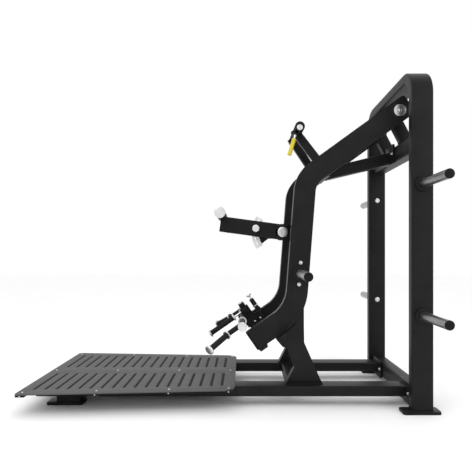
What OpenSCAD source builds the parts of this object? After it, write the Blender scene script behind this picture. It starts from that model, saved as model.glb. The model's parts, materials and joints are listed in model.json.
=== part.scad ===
// Plate-loaded standing squat machine: a slotted platform, a bent rear arch and two
// parallel bent swing arms that turn on a high shaft behind the user.
// +X runs from the platform to the rear arch, +Y to the user's left, +Z up. Millimetres.

/* [Overall] */
// Length from the front of the platform to the back of the rear feet
machine_len = 2338; // [2300:1:2400]
// Wall of the square and rectangular steel tube
wall = 4; // [3:0.5:5]
// Outer corner radius of that tube
tube_r = 8; // [5:0.5:10]

/* [Rear arch] */
// Height of the arch
arch_h = 1927; // [1900:1:1980]
// Width over the two uprights
arch_w = 925; // [905:1:960]
// Front-to-back depth of the arch tube
arch_tube_d = 120; // [110:1:130]
// Sideways thickness of the arch tube
arch_tube_t = 60; // [50:1:70]
// Outer radius of the two top corners
arch_corner_r = 145; // [120:1:170]
// Heights of the two pairs of storage horns
storage_z = [543, 1274]; // [400:1:1400]

/* [Base] */
// Distance of each base rail from the middle
rail_y = 279; // [270:1:290]
// Width of a base rail
rail_w = 120; // [110:1:130]
// Height of a base rail
rail_h = 60; // [50:1:60]
// Height of the underside of the rails
rail_z = 57; // [50:1:60]
// Thickness of the four foot plates
foot_t = 15; // [12:1:18]

/* [Platform] */
// Length of the deck
deck_len = 1198; // [1150:1:1220]
// Width of the deck at its front edge
deck_front_w = 1030; // [1000:1:1060]
// Width of the deck at its rear edge
deck_rear_w = 856; // [820:1:880]
// Thickness of the deck plate
deck_t = 6; // [5:0.5:8]
// Slots in each of the two rows
slot_count = 18; // [12:1:18]
// Width of a slot
slot_w = 17; // [10:1:18]
// Depth of a slot, which leaves a thin floor under it
slot_deep = 4; // [3:0.5:4.5]

/* [Swing arms] */
// Place of the main pivot, behind the middle and above the floor
pivot = [998, 1728]; // [900:1:1800]
// Distance of each arm from the middle
arm_y = 265; // [262:1:270]
// Sideways thickness of an arm
arm_t = 60; // [56:1:60]
// Depth of an arm in its plane
arm_d = 125; // [120:1:130]
// Slope of the upper leg below level
arm_top_slope = 35.9; // [35:0.1:37]
// Lean of the middle leg from upright
arm_mid_lean = 4.4; // [4:0.1:5]
// Slope of the lower leg below level
arm_low_slope = 34.7; // [34:0.1:36]
// Lengths of the upper, middle and lower legs between the bend corners
arm_legs = [680, 786, 309]; // [300:1:800]
// Radii of the upper and lower bends, on the arm's centre line
arm_bend_r = [155, 262]; // [150:1:265]
// Length of the arm past the pivot
arm_tail = 75; // [70:1:80]

/* [Weight horns] */
// Radius of a horn's sleeve
horn_r = 25; // [24:0.1:25]
// Reach of a storage horn from the upright
storage_reach = 333; // [300:1:340]
// Reach of a load horn from the arm
load_reach = 361; // [340:1:380]
// Place of the load horns on the arms
load_at = [411, 768]; // [400:1:780]

/* [Chest lever] */
// Place of the lever's pivot
lever_pivot = [332, 1023]; // [320:1:1030]
// Tilt of the lever above level
lever_tilt = 7.7; // [7:0.1:8]
// Length of the lever from its pivot to its front end
lever_len = 404; // [390:1:420]
// Radius of the circle of index holes
index_r = 175; // [172:0.5:178]
// Angle between two index holes
index_step = 10.5; // [10:0.1:11]

/* [Handle head] */
// Place of the head's crossbar
head_at = [73, 480]; // [70:1:490]
// Distance of the swivel post behind the crossbar
swivel_back = 35; // [34:1:36]
// Distance of the lock pin behind the crossbar
lock_back = 107; // [105:1:109]
// Half of the crossbar's length
crossbar_half = 450; // [430:1:460]

/* [Top handle] */
// Place of the top handlebar
bar_at = [423, 1660]; // [420:1:1665]
// Half of the handlebar's length
bar_half = 209; // [200:1:212]
// Slope of the beam that carries the handlebar
beam_slope = 13.4; // [13:0.1:14]

/* [Hidden] */
$fn = 64;

steel_black = [0.14, 0.14, 0.145];
rubber_black = [0.09, 0.09, 0.09];
deck_grey = [0.36, 0.36, 0.37];
chrome = [0.82, 0.82, 0.84];
sleeve_grey = [0.62, 0.62, 0.64];
lever_yellow = [0.9, 0.82, 0.12];

sides = [-1, 1];
play = 0.05;                        // radial running clearance of every turning pin
front_x = -machine_len / 2;
foot_len = 210;
rear_foot_w = 92;
arch_x = machine_len / 2 - foot_len / 2 + 6;
upright_y = (arch_w - arch_tube_t) / 2;
cross_d = 80;
cross_h = 100;
cross_x = arch_x + 12;              // centre of both cross tubes
cross_face = cross_x - cross_d / 2; // their front face
upper_cross_z = 1517;
lower_cross_z = 75;
flange_t = 12;
flange_face = cross_face - flange_t;
rail_front = front_x + 49;
rail_mid_z = rail_z + rail_h / 2;
rail_top = rail_z + rail_h;
deck_z = rail_top;
deck_rear = front_x + deck_len;
bearer_x = [30, 430, 830, 1164];    // from the front edge of the deck
bearer_w = 50;
bearer_h = 40;
outrigger_t = 12;
edge_in = 6;                        // outrigger ends from the deck's side edges
screw_in = 40;                      // deck screws from the deck's side edges
slot_first = 70;                    // first slot from the deck's front edge
slot_last = 75;                     // last slot from its rear edge
slot_inner = 75;
slot_edge = 85;

// Directions and corner points of the swing arms in the X-Z plane
function dir(a) = [cos(a), sin(a)];
top_heading = 180 + arm_top_slope;
mid_heading = 270 - arm_mid_lean;
low_heading = 180 + arm_low_slope;
bend_1 = pivot + arm_legs[0] * dir(top_heading);
bend_2 = bend_1 + arm_legs[1] * dir(mid_heading);
arm_end = bend_2 + arm_legs[2] * dir(low_heading);
set_2 = arm_bend_r[1] * tan((mid_heading - low_heading) / 2);
arm_out = arm_y + arm_t / 2;
arm_in = arm_y - arm_t / 2;
low_bend_c = bend_2 - set_2 * dir(mid_heading) + arm_bend_r[1] * dir(mid_heading - 90);

hub_r = 54;
shaft_r = 20;
housing_half = 222;
bearing_r = 31;
bearing_w = 16;
collar_r = 45;
collar_t = 12;
cap_t = 8;
horn_bore_r = 21;

lever_t = 60;
lever_h = 100;
lever_a = 180 - lever_tilt;
cheek_in = lever_t / 2 + 1;
cheek_t = 12;
index_y = 35;
index_t = 8;

// The handle head has its own axes: u along the arms' lower legs, n square to them
head_u = dir(low_heading - 180);
head_n = dir(low_heading - 90);
crossbar_r = 20;
post_r = 15;
pin_r = 6;
pin_gap = 0.5;                      // between a parked pull pin and its index plate
pin_travel = 8.5;
plate_n = -32;                      // underside of the head's index plate
head_turn = 30;                     // the head turns this far each way

// ---------- helpers ----------

// Outline of a rectangle with rounded corners
function rounded_box(a, b, r, n = 3) = [for (i = [0:3]) for (k = [0:n])
    [(i == 0 || i == 3 ? 1 : -1) * (a / 2 - r) + r * cos(90 * (i + k / n)),
     (i < 2 ? 1 : -1) * (b / 2 - r) + r * sin(90 * (i + k / n))]];

// Arc that rounds the corner p between the points a and b
function corner_arc(a, p, b, r, n) =
    let (u = (a - p) / norm(a - p), v = (b - p) / norm(b - p), half = acos(u * v) / 2)
    let (c = p + (u + v) / norm(u + v) * r / sin(half), s = p + u * r / tan(half) - c)
    let (turn = (u[0] * v[1] - u[1] * v[0] > 0 ? -1 : 1) * (180 - 2 * half))
    let (start = atan2(s[1], s[0]))
    [for (k = [0:n]) c + r * dir(start + turn * k / n)];

// Outline through the points p with each corner rounded by its radius in r
function rounded_outline(p, r, n = 8) = [for (i = [0:len(p) - 1])
    each (r[i] > 0 ? corner_arc(p[(i + len(p) - 1) % len(p)], p[i], p[(i + 1) % len(p)], r[i], n)
        : [p[i]])];

// Outline of a slot with round ends, along Y
function slot_outline(x, y0, y1, n = 6) = let (r = slot_w / 2)
    [for (k = [0:n]) [x, y1 - r] + r * dir(180 * k / n),
     for (k = [0:n]) [x, y0 + r] + r * dir(180 + 180 * k / n)];

// Half width of the deck at a distance behind its front edge
function deck_half(d) = (deck_front_w + (deck_rear_w - deck_front_w) * d / deck_len) / 2;

// Point of the handle head at u along and n above the crossbar
function head_point(u, n) = head_at + u * head_u + n * head_n;

module tube_section(a, b) {
    difference() {
        polygon(rounded_box(a, b, tube_r));
        square([a - 2 * wall, b - 2 * wall], center = true);
    }
}

// Tube along X, with its size across Y and up Z
module tube_x(y, z, w, h, x0, x1) {
    translate([x0, y, z]) rotate([90, 0, 90]) linear_extrude(x1 - x0) tube_section(w, h);
}

// Tube along Y, with its size along X and up Z
module tube_y(x, z, w, h, y0, y1) {
    translate([x, y0, z]) rotate([-90, 0, 0]) linear_extrude(y1 - y0) tube_section(w, h);
}

// Round bar along Y
module bar_y(p, y0, y1, r) {
    translate([p[0], y0, p[1]]) rotate([-90, 0, 0]) cylinder(h = y1 - y0, r = r);
}

// Plate in the X-Z plane from y0 to y1
module plate_xz(points, y0, y1) {
    translate([0, y1, 0]) rotate([90, 0, 0]) linear_extrude(y1 - y0) polygon(points);
}

// Moves a child drawn along +Z onto the point p of the X-Z plane, along a heading
module along(p, heading, y = 0) {
    translate([p[0], y, p[1]]) rotate([0, 90 - heading, 0]) children();
}

// Outline of a bent bar: points on its centre line, the headings of its legs, the bend
// radii on the centre line, half of its depth and the radius of its first two corners
function bent_corner(p, a, b, r, half, side) =
    [p + side * half / cos((b - a) / 2) * dir((a + b) / 2 + 90), r - side * sign(b - a) * half];
function bent_side(p, h, r, half, side, tip_r) = concat(
    [[p[0] + side * half * dir(h[0] + 90), tip_r]],
    [for (i = [1:len(p) - 2]) bent_corner(p[i], h[i - 1], h[i], r[i - 1], half, side)],
    [[p[len(p) - 1] + side * half * dir(h[len(h) - 1] + 90), 0]]);
function bent_outline(p, h, r, half, tip_r) =
    let (a = bent_side(p, h, r, half, 1, tip_r), b = bent_side(p, h, r, half, -1, tip_r))
    let (all = concat(a, [for (i = [len(b) - 1:-1:0]) b[i]]))
    rounded_outline([for (c = all) c[0]], [for (c = all) c[1]], 12);

// Bent rectangular tube in the X-Y plane, w thick and 2 * half deep, open at its ends
// unless its first two corners are rounded
module bent_tube(p, h, r, half, w, tip_r = 0) {
    tip = tip_r > 0 ? wall : 0;
    bore = concat([p[0] + tip * dir(h[0])], [for (i = [1:len(p) - 1]) p[i]]);
    difference() {
        translate([0, 0, -w / 2]) linear_extrude(w) polygon(bent_outline(p, h, r, half, tip_r));
        translate([0, 0, wall - w / 2]) linear_extrude(w - 2 * wall)
            polygon(bent_outline(bore, h, r, half - wall, max(tip_r - wall, 0)));
    }
}

// Bolt head with a washer, along +Z
module bolt_head(r, h) {
    cylinder(h = 2, r = r + 3);
    translate([0, 0, 2]) cylinder(h = h - 2, r = r, $fn = 6);
}

// ---------- frame ----------

module rear_arch() {
    half = arch_tube_t / 2;
    top = arch_h - half;
    centre_line = [[-upright_y, foot_t], [-upright_y, top], [upright_y, top], [upright_y, foot_t]];
    color(steel_black) difference() {
        translate([arch_x, 0, 0]) rotate([90, 0, 90])
            bent_tube(centre_line, [90, 0, -90], [1, 1] * (arch_corner_r - half), half, arch_tube_d);
        for (z = storage_z) bar_y([arch_x, z], -arch_w, arch_w, 10);
    }
}

module rear_feet() {
    color(steel_black) for (s = sides)
        translate([machine_len / 2 - foot_len / 2, s * upright_y, 0])
            linear_extrude(foot_t) polygon(rounded_box(foot_len, rear_foot_w, tube_r));
}

module upper_cross_tube() {
    inner = upright_y - arch_tube_t / 2;
    color(steel_black) tube_y(cross_x, upper_cross_z, cross_d, cross_h, -inner, inner);
}

module lower_cross_tube() {
    inner = upright_y - arch_tube_t / 2;
    color(steel_black) tube_y(cross_x, lower_cross_z, cross_d, cross_h, -inner, inner);
}

module base_rail(s) {
    color(steel_black) tube_x(s * rail_y, rail_mid_z, rail_w, rail_h, rail_front, flange_face);
}

module right_base_rail() {
    base_rail(-1);
}

module left_base_rail() {
    base_rail(1);
}

module rail_flanges() {
    color(steel_black) for (s = sides)
        translate([flange_face, s * rail_y, 78]) rotate([90, 0, 90]) difference() {
            linear_extrude(flange_t) polygon(rounded_box(176, 120, 6));
            for (k = sides) translate([k * 74, 0, -1]) cylinder(h = flange_t + 2, r = 7);
        }
}

// Bolts of the rail flanges and of the beam's flange, with their shanks in the cross tubes
module flange_bolts() {
    places = concat([for (s = sides) for (k = sides) [s * rail_y + k * 74, 78]],
        [for (k = sides) [k * 60, 1522]]);
    color(chrome) for (p = places) translate([flange_face, p[0], p[1]]) rotate([0, -90, 0]) {
        bolt_head(9, 10);
        translate([0, 0, -flange_t]) cylinder(h = flange_t, r = 6.5);
    }
}

module rail_end_plugs() {
    plug = [rail_w - 2 * wall, rail_h - 2 * wall];
    color(rubber_black) for (s = sides) translate([rail_front, s * rail_y, rail_mid_z]) {
        rotate([90, 0, -90]) linear_extrude(5) polygon(rounded_box(rail_w - 2, rail_h - 2, tube_r));
        rotate([90, 0, 90]) linear_extrude(20) square(plug, center = true);
    }
}

module front_feet() {
    plate_x = front_x + 200;
    color(steel_black) for (s = sides) {
        translate([plate_x, s * 268, 0])
            linear_extrude(foot_t) polygon(rounded_box(foot_len, 96, tube_r));
        translate([plate_x + 20, s * 268, foot_t])
            linear_extrude(rail_z - foot_t) tube_section(140, 76);
    }
}

module deck() {
    corners = [[0, -deck_front_w / 2], [deck_len, -deck_rear_w / 2],
        [deck_len, deck_rear_w / 2], [0, deck_front_w / 2]];
    pitch = (deck_len - slot_first - slot_last) / (slot_count - 1);
    color(deck_grey) translate([front_x, 0, deck_z]) difference() {
        linear_extrude(deck_t) polygon(rounded_outline(corners, [22, 78, 78, 22]));
        translate([0, 0, deck_t - slot_deep]) linear_extrude(deck_t)
            for (i = [0:slot_count - 1], s = sides) {
                x = slot_first + i * pitch;
                outer = deck_half(x) - slot_edge;
                mirror([0, s < 0 ? 1 : 0]) polygon(slot_outline(x, slot_inner, outer));
            }
        for (x = bearer_x, k = [-1:1])
            translate([x, k * (deck_half(x) - screw_in), -1]) cylinder(h = deck_t + 2, r = 3.5);
    }
}

// Cross tubes that carry the deck between the rails, and flat outriggers beside the rails
module deck_bearers() {
    inner = rail_y - rail_w / 2;
    outer = rail_y + rail_w / 2;
    color(steel_black) for (d = bearer_x) translate([front_x + d, 0, rail_top]) difference() {
        union() {
            tube_y(0, -bearer_h / 2, bearer_w, bearer_h, -inner, inner);
            for (s = sides) scale([1, s, 1]) translate([-bearer_w / 2, outer, -outrigger_t])
                cube([bearer_w, deck_half(d) - edge_in - outer, outrigger_t]);
        }
        for (k = [-1:1]) translate([0, k * (deck_half(d) - screw_in), -outrigger_t])
            cylinder(h = 3 * outrigger_t, r = 3.5, center = true);
    }
}

// Screws down through the deck, and screws in the outer ends of the outriggers
module deck_screws() {
    color(chrome) for (d = bearer_x) {
        for (k = [-1:1]) translate([front_x + d, k * (deck_half(d) - screw_in), deck_z + deck_t]) {
            translate([0, 0, -16]) cylinder(h = 16, r = 3.5);
            cylinder(h = 2, r1 = 6, r2 = 4.5);
        }
        for (s = sides) scale([1, s, 1])
            translate([front_x + d, deck_half(d) - edge_in, rail_top - outrigger_t / 2])
                rotate([-90, 0, 0]) cylinder(h = 3, r = 4);
    }
}

// ---------- stands that the arms rest on ----------

pad_t = 8;
pad_start = 126;                    // pads from the arm's end, along the arm
pad_bend = 14;                      // how far the pads follow the arm's lower bend
stand_rear = 435;

// Points under the arm at a distance below its underside, from the turn t0 to t1 of its bend
function under_arm(d, t0, t1, n) = let (a = low_heading - 270, r = arm_bend_r[1] + arm_d / 2 + d)
    [for (k = [0:n]) low_bend_c + r * dir(a + t0 + (t1 - t0) * k / n)];

// Side outline of a stand: its top is recessed for the pad, then follows the arm's bend
function stand_outline() =
    let (r = arm_bend_r[1] + arm_d / 2 + 1)
    let (rear_turn = -acos((stand_rear - low_bend_c[0]) / r) - low_heading + 270)
    let (seat = arm_end + (pad_start - 6) * dir(arm_low_slope)
        + (arm_d / 2 + pad_t) * dir(arm_low_slope - 90))
    let (edge = pad_bend + 0.5)
    concat([seat], under_arm(pad_t, 0, pad_bend, 6), [under_arm(pad_t, 0, edge, 1)[1]],
        under_arm(1, edge, rear_turn, 10),
        [[stand_rear, 362], [545, rail_top], [326, rail_top], [378, 214], [336, 327], [309, 337]]);

// Two side plates with a rim between them
module stand(s) {
    color(steel_black) translate([0, s * arm_y, 0]) difference() {
        plate_xz(stand_outline(), -30, 30);
        translate([0, 25, 0]) rotate([90, 0, 0]) linear_extrude(50)
            offset(delta = -wall) polygon(stand_outline());
    }
}

module right_stand() {
    stand(-1);
}

module left_stand() {
    stand(1);
}

// Rubber strips between the stands and the arms
module stand_pads() {
    gap = 0.4;
    top = under_arm(gap, 0, pad_bend, 6);
    foot = under_arm(pad_t, pad_bend, 0, 6);
    start = arm_end + pad_start * dir(arm_low_slope);
    down = dir(arm_low_slope - 90);
    color(rubber_black) for (s = sides)
        plate_xz(concat([start + (arm_d / 2 + gap) * down], top, foot,
            [start + (arm_d / 2 + pad_t) * down]), s * arm_y - 20, s * arm_y + 20);
}

module stand_cross_tube() {
    inner = rail_y - rail_w / 2;
    color(steel_black) tube_y(374, rail_mid_z, 60, 60, -inner, inner);
}

// ---------- storage horns ----------

module horn_sleeve(reach) {
    difference() {
        translate([0, 0, collar_t]) cylinder(h = reach - collar_t - cap_t, r = horn_r);
        translate([0, 0, 30]) cylinder(h = reach, r = horn_bore_r);
        translate([0, 0, -1]) cylinder(h = 40, r = 9.5);
    }
}

module horn_collar() {
    difference() {
        cylinder(h = collar_t, r = collar_r);
        translate([0, 0, -1]) cylinder(h = collar_t + 2, r = 9.5);
    }
}

module horn_cap(reach) {
    translate([0, 0, reach - cap_t]) cylinder(h = cap_t, r = horn_r - 0.4);
    translate([0, 0, reach - cap_t - 20]) cylinder(h = 20, r = horn_bore_r);
}

// Places a child drawn along +Z on the outer face of an upright
module on_upright(s, z) {
    translate([arch_x, s * arch_w / 2, z]) rotate([-90 * s, 0, 0]) children();
}

module storage_horn(s, z) {
    color(sleeve_grey) on_upright(s, z) horn_sleeve(storage_reach);
}

module storage_horn_upper_right() {
    storage_horn(-1, storage_z[1]);
}

module storage_horn_upper_left() {
    storage_horn(1, storage_z[1]);
}

module storage_horn_lower_right() {
    storage_horn(-1, storage_z[0]);
}

module storage_horn_lower_left() {
    storage_horn(1, storage_z[0]);
}

module storage_collars() {
    color(steel_black) for (s = sides, z = storage_z) on_upright(s, z) horn_collar();
}

module storage_caps() {
    color(rubber_black) for (s = sides, z = storage_z) on_upright(s, z) horn_cap(storage_reach);
}

// Bolts through the uprights into the horns, with their heads on the inner faces
module storage_bolts() {
    color(chrome) for (s = sides, z = storage_z) on_upright(s, z) {
        translate([0, 0, -arch_tube_t]) cylinder(h = arch_tube_t + 30, r = 9.5);
        translate([0, 0, -arch_tube_t]) mirror([0, 0, 1]) bolt_head(14, 11);
    }
}

// ---------- main pivot ----------

module pivot_struts() {
    strut = [74, 60];
    foot = [cross_x, upper_cross_z + cross_h / 2];
    heading = atan2(pivot[1] - foot[1], pivot[0] - foot[0]);
    reach = norm(pivot - foot);
    color(steel_black) difference() {
        for (s = sides) along(foot - 60 * dir(heading), heading, s * 165)
            linear_extrude(reach + 48) tube_section(strut[0], strut[1]);
        translate([foot[0] - 200, -250, foot[1] - 200]) cube([400, 500, 200]);
        bar_y(pivot, -250, 250, hub_r);
    }
}

module pivot_housing() {
    h = housing_half;
    color(steel_black) difference() {
        bar_y(pivot, -h, h, hub_r);
        bar_y(pivot, -h - 1, h + 1, shaft_r + 6);
        bar_y(pivot, -h + 2 * bearing_w, h - 2 * bearing_w, hub_r - wall);
        for (s = sides) bar_y(pivot, s * h - bearing_w, s * h + bearing_w, bearing_r);
    }
}

module pivot_bearings() {
    mid = housing_half - bearing_w / 2;
    color(chrome) for (s = sides) difference() {
        bar_y(pivot, s * mid - bearing_w / 2, s * mid + bearing_w / 2, bearing_r);
        bar_y(pivot, s * mid - bearing_w, s * mid + bearing_w, shaft_r + play);
    }
}

module thrust_washers() {
    mid = housing_half + 3.3;
    color(rubber_black) for (s = sides) difference() {
        bar_y(pivot, s * mid - 3, s * mid + 3, 45);
        bar_y(pivot, s * mid - 4, s * mid + 4, shaft_r + 0.4);
    }
}

// ---------- top handle ----------

beam_w = 80;
beam_h = 75;
beam_root = [flange_face, 1499];
beam_heading = 180 + beam_slope;
beam_len = 424;
fork_foot = beam_root + (beam_len + 30) * dir(beam_heading);
fork_d = 52;
fork_t = 40;

module handle_beam() {
    color(steel_black) {
        difference() {
            along(beam_root - 40 * dir(beam_heading), beam_heading)
                linear_extrude(beam_len + 60) tube_section(beam_h, beam_w);
            translate([flange_face, -100, 1400]) cube([200, 200, 250]);
            translate([fork_foot[0] - 170, -100, 1300]) cube([200, 200, 200]);
        }
        difference() {
            translate([flange_face, 0, 1522]) rotate([90, 0, 90])
                linear_extrude(flange_t) polygon(rounded_box(150, 122, 6));
            for (k = sides) translate([flange_face - 1, k * 60, 1522]) rotate([0, 90, 0])
                cylinder(h = flange_t + 2, r = 7);
        }
    }
}

// Two flat-sided bars that rise from a foot tube and close in on the handlebar
module handle_fork() {
    foot_y = 150;
    top_y = 103;
    top = bar_at + [-20, -6];
    heading = atan2(top[1] - fork_foot[1], top[0] - fork_foot[0]);
    rise = norm(top - fork_foot);
    lean = atan2(foot_y - top_y, rise);
    color(steel_black) difference() {
        union() {
            tube_y(fork_foot[0], fork_foot[1], 60, 60, -foot_y - fork_t / 2, foot_y + fork_t / 2);
            for (s = sides) along(fork_foot, heading, s * foot_y) rotate([s * lean, 0, 0])
                translate([0, 0, 25]) linear_extrude(rise - 15) tube_section(fork_d, fork_t);
        }
        bar_y(bar_at, -bar_half, bar_half, 30);
    }
}

module top_handlebar() {
    color(rubber_black) difference() {
        bar_y(bar_at, -bar_half, bar_half, 30);
        bar_y(bar_at, -bar_half + 12, bar_half - 12, 24);
    }
}

release_at = bar_at + [-4, -13];

// The lever's pivot bolt at the right end and a plain bolt at the left end
module handlebar_bolts() {
    color(chrome) {
        bar_y(release_at, -bar_half - 16, -bar_half, 8);
        bar_y(release_at, -bar_half - 21, -bar_half - 16, 17.5);
        bar_y(release_at, bar_half, bar_half + 5, 17.5);
    }
}

grip_top = [386, 1581];
grip_low = [356, 1481];
grip_heading = atan2(grip_low[1] - grip_top[1], grip_low[0] - grip_top[0]);
knuckle = grip_top - 37 * dir(grip_heading);

module release_arm() {
    y0 = -bar_half - 15;
    y1 = -bar_half - 1;
    color(steel_black) difference() {
        union() {
            bar_y(release_at, y0, y1, 17);
            plate_xz([release_at + [13, -9], release_at + [-13, 9],
                knuckle + [-11, 8], knuckle + [11, -8]], y0, y1);
            bar_y(knuckle, y0, y1, 15);
        }
        bar_y(release_at, y0 - 1, y1 + 1, 8 + play);
    }
    color(chrome) along(knuckle, grip_heading, (y0 + y1) / 2)
        translate([0, 0, 14.5]) cylinder(h = 40, r = 6);
}

module release_grip() {
    color(lever_yellow) along(grip_top, grip_heading, -bar_half - 8) difference() {
        cylinder(h = norm(grip_low - grip_top), r = 13);
        translate([0, 0, -1]) cylinder(h = 26, r = 6);
    }
}

// ---------- swing arms ----------

module arm(s) {
    color(steel_black) difference() {
        union() {
            translate([0, s * arm_y, 0]) rotate([90, 0, 0])
                bent_tube([pivot - arm_tail * dir(top_heading), bend_1, bend_2, arm_end],
                    [top_heading, mid_heading, low_heading], arm_bend_r, arm_d / 2, arm_t, 18);
            bar_y(pivot, s * arm_y - arm_t / 2, s * arm_y + arm_t / 2, arm_d / 2);
        }
        bar_y(pivot, s * arm_y - arm_t, s * arm_y + arm_t, hub_r);
        bar_y(load_at, s * arm_y - arm_t, s * arm_y + arm_t, 9.5);
    }
}

module right_arm() {
    arm(-1);
}

module left_arm() {
    arm(1);
}

module arm_hubs() {
    inner = housing_half + 7;
    color(steel_black) for (s = sides) difference() {
        bar_y(pivot, s > 0 ? inner : -arm_out - 1, s > 0 ? arm_out + 1 : -inner, hub_r);
        bar_y(pivot, -arm_out - 10, arm_out + 10, shaft_r);
    }
}

module pivot_shaft() {
    color(chrome) bar_y(pivot, -arm_out - 1, arm_out + 1, shaft_r);
}

module pivot_caps() {
    color(chrome) for (s = sides)
        translate([pivot[0], s * (arm_out + 1), pivot[1]]) rotate([-90 * s, 0, 0]) {
            cylinder(h = 8, r = 36);
            translate([0, 0, 8]) cylinder(h = 2, r = 9);
        }
}

// End plates of the arms, with the rubber bumpers under them
module arm_end_pads() {
    back = dir(arm_low_slope);
    down = dir(arm_low_slope - 90);
    color(rubber_black) for (s = sides) {
        along(arm_end, low_heading, s * arm_y) linear_extrude(6)
            polygon(rounded_box(arm_d, arm_t, tube_r));
        along(arm_end, low_heading, s * arm_y) translate([0, 0, -15]) linear_extrude(15)
            square([arm_d - 2 * wall, arm_t - 2 * wall], center = true);
        plate_xz([arm_end + arm_d / 2 * down, arm_end + 62 * back + arm_d / 2 * down,
            arm_end + 56 * back + (arm_d / 2 + 18) * down,
            arm_end + 6 * back + (arm_d / 2 + 18) * down], s * arm_y - 25, s * arm_y + 25);
    }
}

mid_cross_at = bend_2 + 481 * dir(mid_heading + 180);
low_cross_at = arm_end + 75 * dir(arm_low_slope);
low_cross_d = 80;

module arm_cross_tubes() {
    color(steel_black) {
        tube_y(mid_cross_at[0], mid_cross_at[1], 66, 110, -arm_in, arm_in);
        translate([low_cross_at[0], -arm_in, low_cross_at[1]]) rotate([0, -arm_low_slope, 0])
            rotate([-90, 0, 0]) linear_extrude(2 * arm_in) tube_section(low_cross_d, low_cross_d);
    }
}

// Places a child drawn along +Z on the outer face of an arm
module on_arm(s, p) {
    translate([p[0], s * arm_out, p[1]]) rotate([-90 * s, 0, 0]) children();
}

module load_horn_right() {
    color(sleeve_grey) on_arm(-1, load_at) horn_sleeve(load_reach);
}

module load_horn_left() {
    color(sleeve_grey) on_arm(1, load_at) horn_sleeve(load_reach);
}

module load_fittings() {
    color(steel_black) for (s = sides) on_arm(s, load_at) {
        horn_collar();
        horn_cap(load_reach);
    }
}

module load_bolts() {
    color(chrome) for (s = sides) {
        on_arm(s, load_at) {
            translate([0, 0, -arm_t]) cylinder(h = arm_t + 30, r = 9.5);
            translate([0, 0, -arm_t]) mirror([0, 0, 1]) bolt_head(14, 11);
        }
        for (k = sides) on_arm(s, load_at + k * 64 * dir(mid_heading)) bolt_head(8, 8);
    }
}

// ---------- chest lever ----------

// Cheeks on the arms' cross tube that hold the lever, with the web of the index plate
module lever_bracket() {
    face = mid_cross_at[0] - 33;
    low = lever_pivot[1] - 52;
    high = lever_pivot[1] + 52;
    web_in = cheek_in + cheek_t;
    side = [[face, low], [face, high], [lever_pivot[0] - 36, high], [lever_pivot[0] - 36, low]];
    color(steel_black) difference() {
        union() {
            plate_xz(side, -web_in, -cheek_in);
            plate_xz(side, cheek_in, web_in);
            plate_xz(concat([[face, low + 12], [face, high - 12], lever_pivot + [-90, 40]],
                [for (a = [150:6:210]) lever_pivot + (a == 150 || a == 210 ? 160 : 172) * dir(a)],
                [lever_pivot + [-90, -40]]), web_in, web_in + index_t);
        }
        bar_y(lever_pivot, -80, 80, 10);
    }
}

// Arc plate of index holes beside the lever
module lever_index_plate() {
    y0 = cheek_in + cheek_t - index_t;
    holes = [for (k = [-2:3]) lever_a + k * index_step];
    color(chrome) difference() {
        intersection() {
            difference() {
                bar_y(lever_pivot, y0, y0 + index_t, index_r + 24);
                bar_y(lever_pivot, y0 - 1, y0 + index_t + 1, index_r - 24);
            }
            plate_xz([lever_pivot, lever_pivot + 260 * dir(180 - 33),
                lever_pivot + 260 * dir(180), lever_pivot + 260 * dir(180 + 33)],
                y0 - 1, y0 + index_t + 1);
        }
        for (a = holes) bar_y(lever_pivot + index_r * dir(a), y0 - 1, y0 + index_t + 1, 8);
    }
}

module lever_pivot_bolt() {
    y1 = cheek_in + cheek_t + index_t;
    y0 = cheek_in + cheek_t;
    color(chrome) {
        bar_y(lever_pivot, -y0, y1, 10);
        bar_y(lever_pivot, -y0 - 6, -y0, 33);
        bar_y(lever_pivot, y1, y1 + 6, 33);
    }
}

module chest_lever() {
    pin_at = lever_pivot + index_r * dir(lever_a);
    color(steel_black) difference() {
        union() {
            along(lever_pivot + 24 * dir(lever_a), lever_a)
                linear_extrude(lever_len - 24) tube_section(lever_h, lever_t);
            bar_y(lever_pivot, -lever_t / 2, lever_t / 2, 46);
            along(lever_pivot + lever_len * dir(lever_a), lever_a)
                linear_extrude(3) polygon(rounded_box(lever_h, lever_t, tube_r));
        }
        bar_y(lever_pivot, -lever_t, lever_t, 10 + play);
        bar_y(pin_at, -lever_t, lever_t, pin_r + play);
        bar_y(chest_bar_at, -lever_t, lever_t, chest_bar_r);
    }
}

chest_bar_at = [-66, 1138];
chest_bar_half = 200;
chest_bar_r = 31;

// Rubber-covered bar across the lever's front end
module chest_bar() {
    end = chest_bar_half - 20;
    color(rubber_black) bar_y(chest_bar_at, -end, end, chest_bar_r);
}

module chest_bar_caps() {
    y = chest_bar_half;
    color(chrome) for (s = sides)
        translate([chest_bar_at[0], s * (y - 20), chest_bar_at[1]]) rotate([-90 * s, 0, 0]) {
            cylinder(h = 4, r = 35);
            translate([0, 0, 4]) cylinder(h = 6, r = 29);
            translate([0, 0, 10]) cylinder(h = 10, r = 34.5);
        }
}

// Pull pin through the lever, parked just clear of the index plate, with its round knob
module lever_pin() {
    pin_at = lever_pivot + index_r * dir(lever_a);
    tip = cheek_in + cheek_t - index_t - pin_gap;
    knob = -lever_t / 2 - pin_travel;
    color(chrome) {
        bar_y(pin_at, knob - 1, tip, pin_r);
        bar_y(pin_at, knob - 15, knob - 1, 23);
    }
}

// ---------- handle head ----------

// Puts a child drawn in the head's own axes (x along u, y along Y, z along n) in place
module in_head() {
    translate([head_at[0], 0, head_at[1]]) rotate([0, -arm_low_slope, 0]) children();
}

// Block on the arms' lower cross tube that carries the swivel post and the index plate
module head_bracket() {
    tube_top = (low_cross_at - head_at) * head_n + low_cross_d / 2;
    color(steel_black) in_head() difference() {
        translate([-8, -42, tube_top]) cube([118, 84, plate_n - tube_top]);
        translate([swivel_back, 0, -70]) cylinder(h = 60, r = post_r);
    }
}

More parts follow.
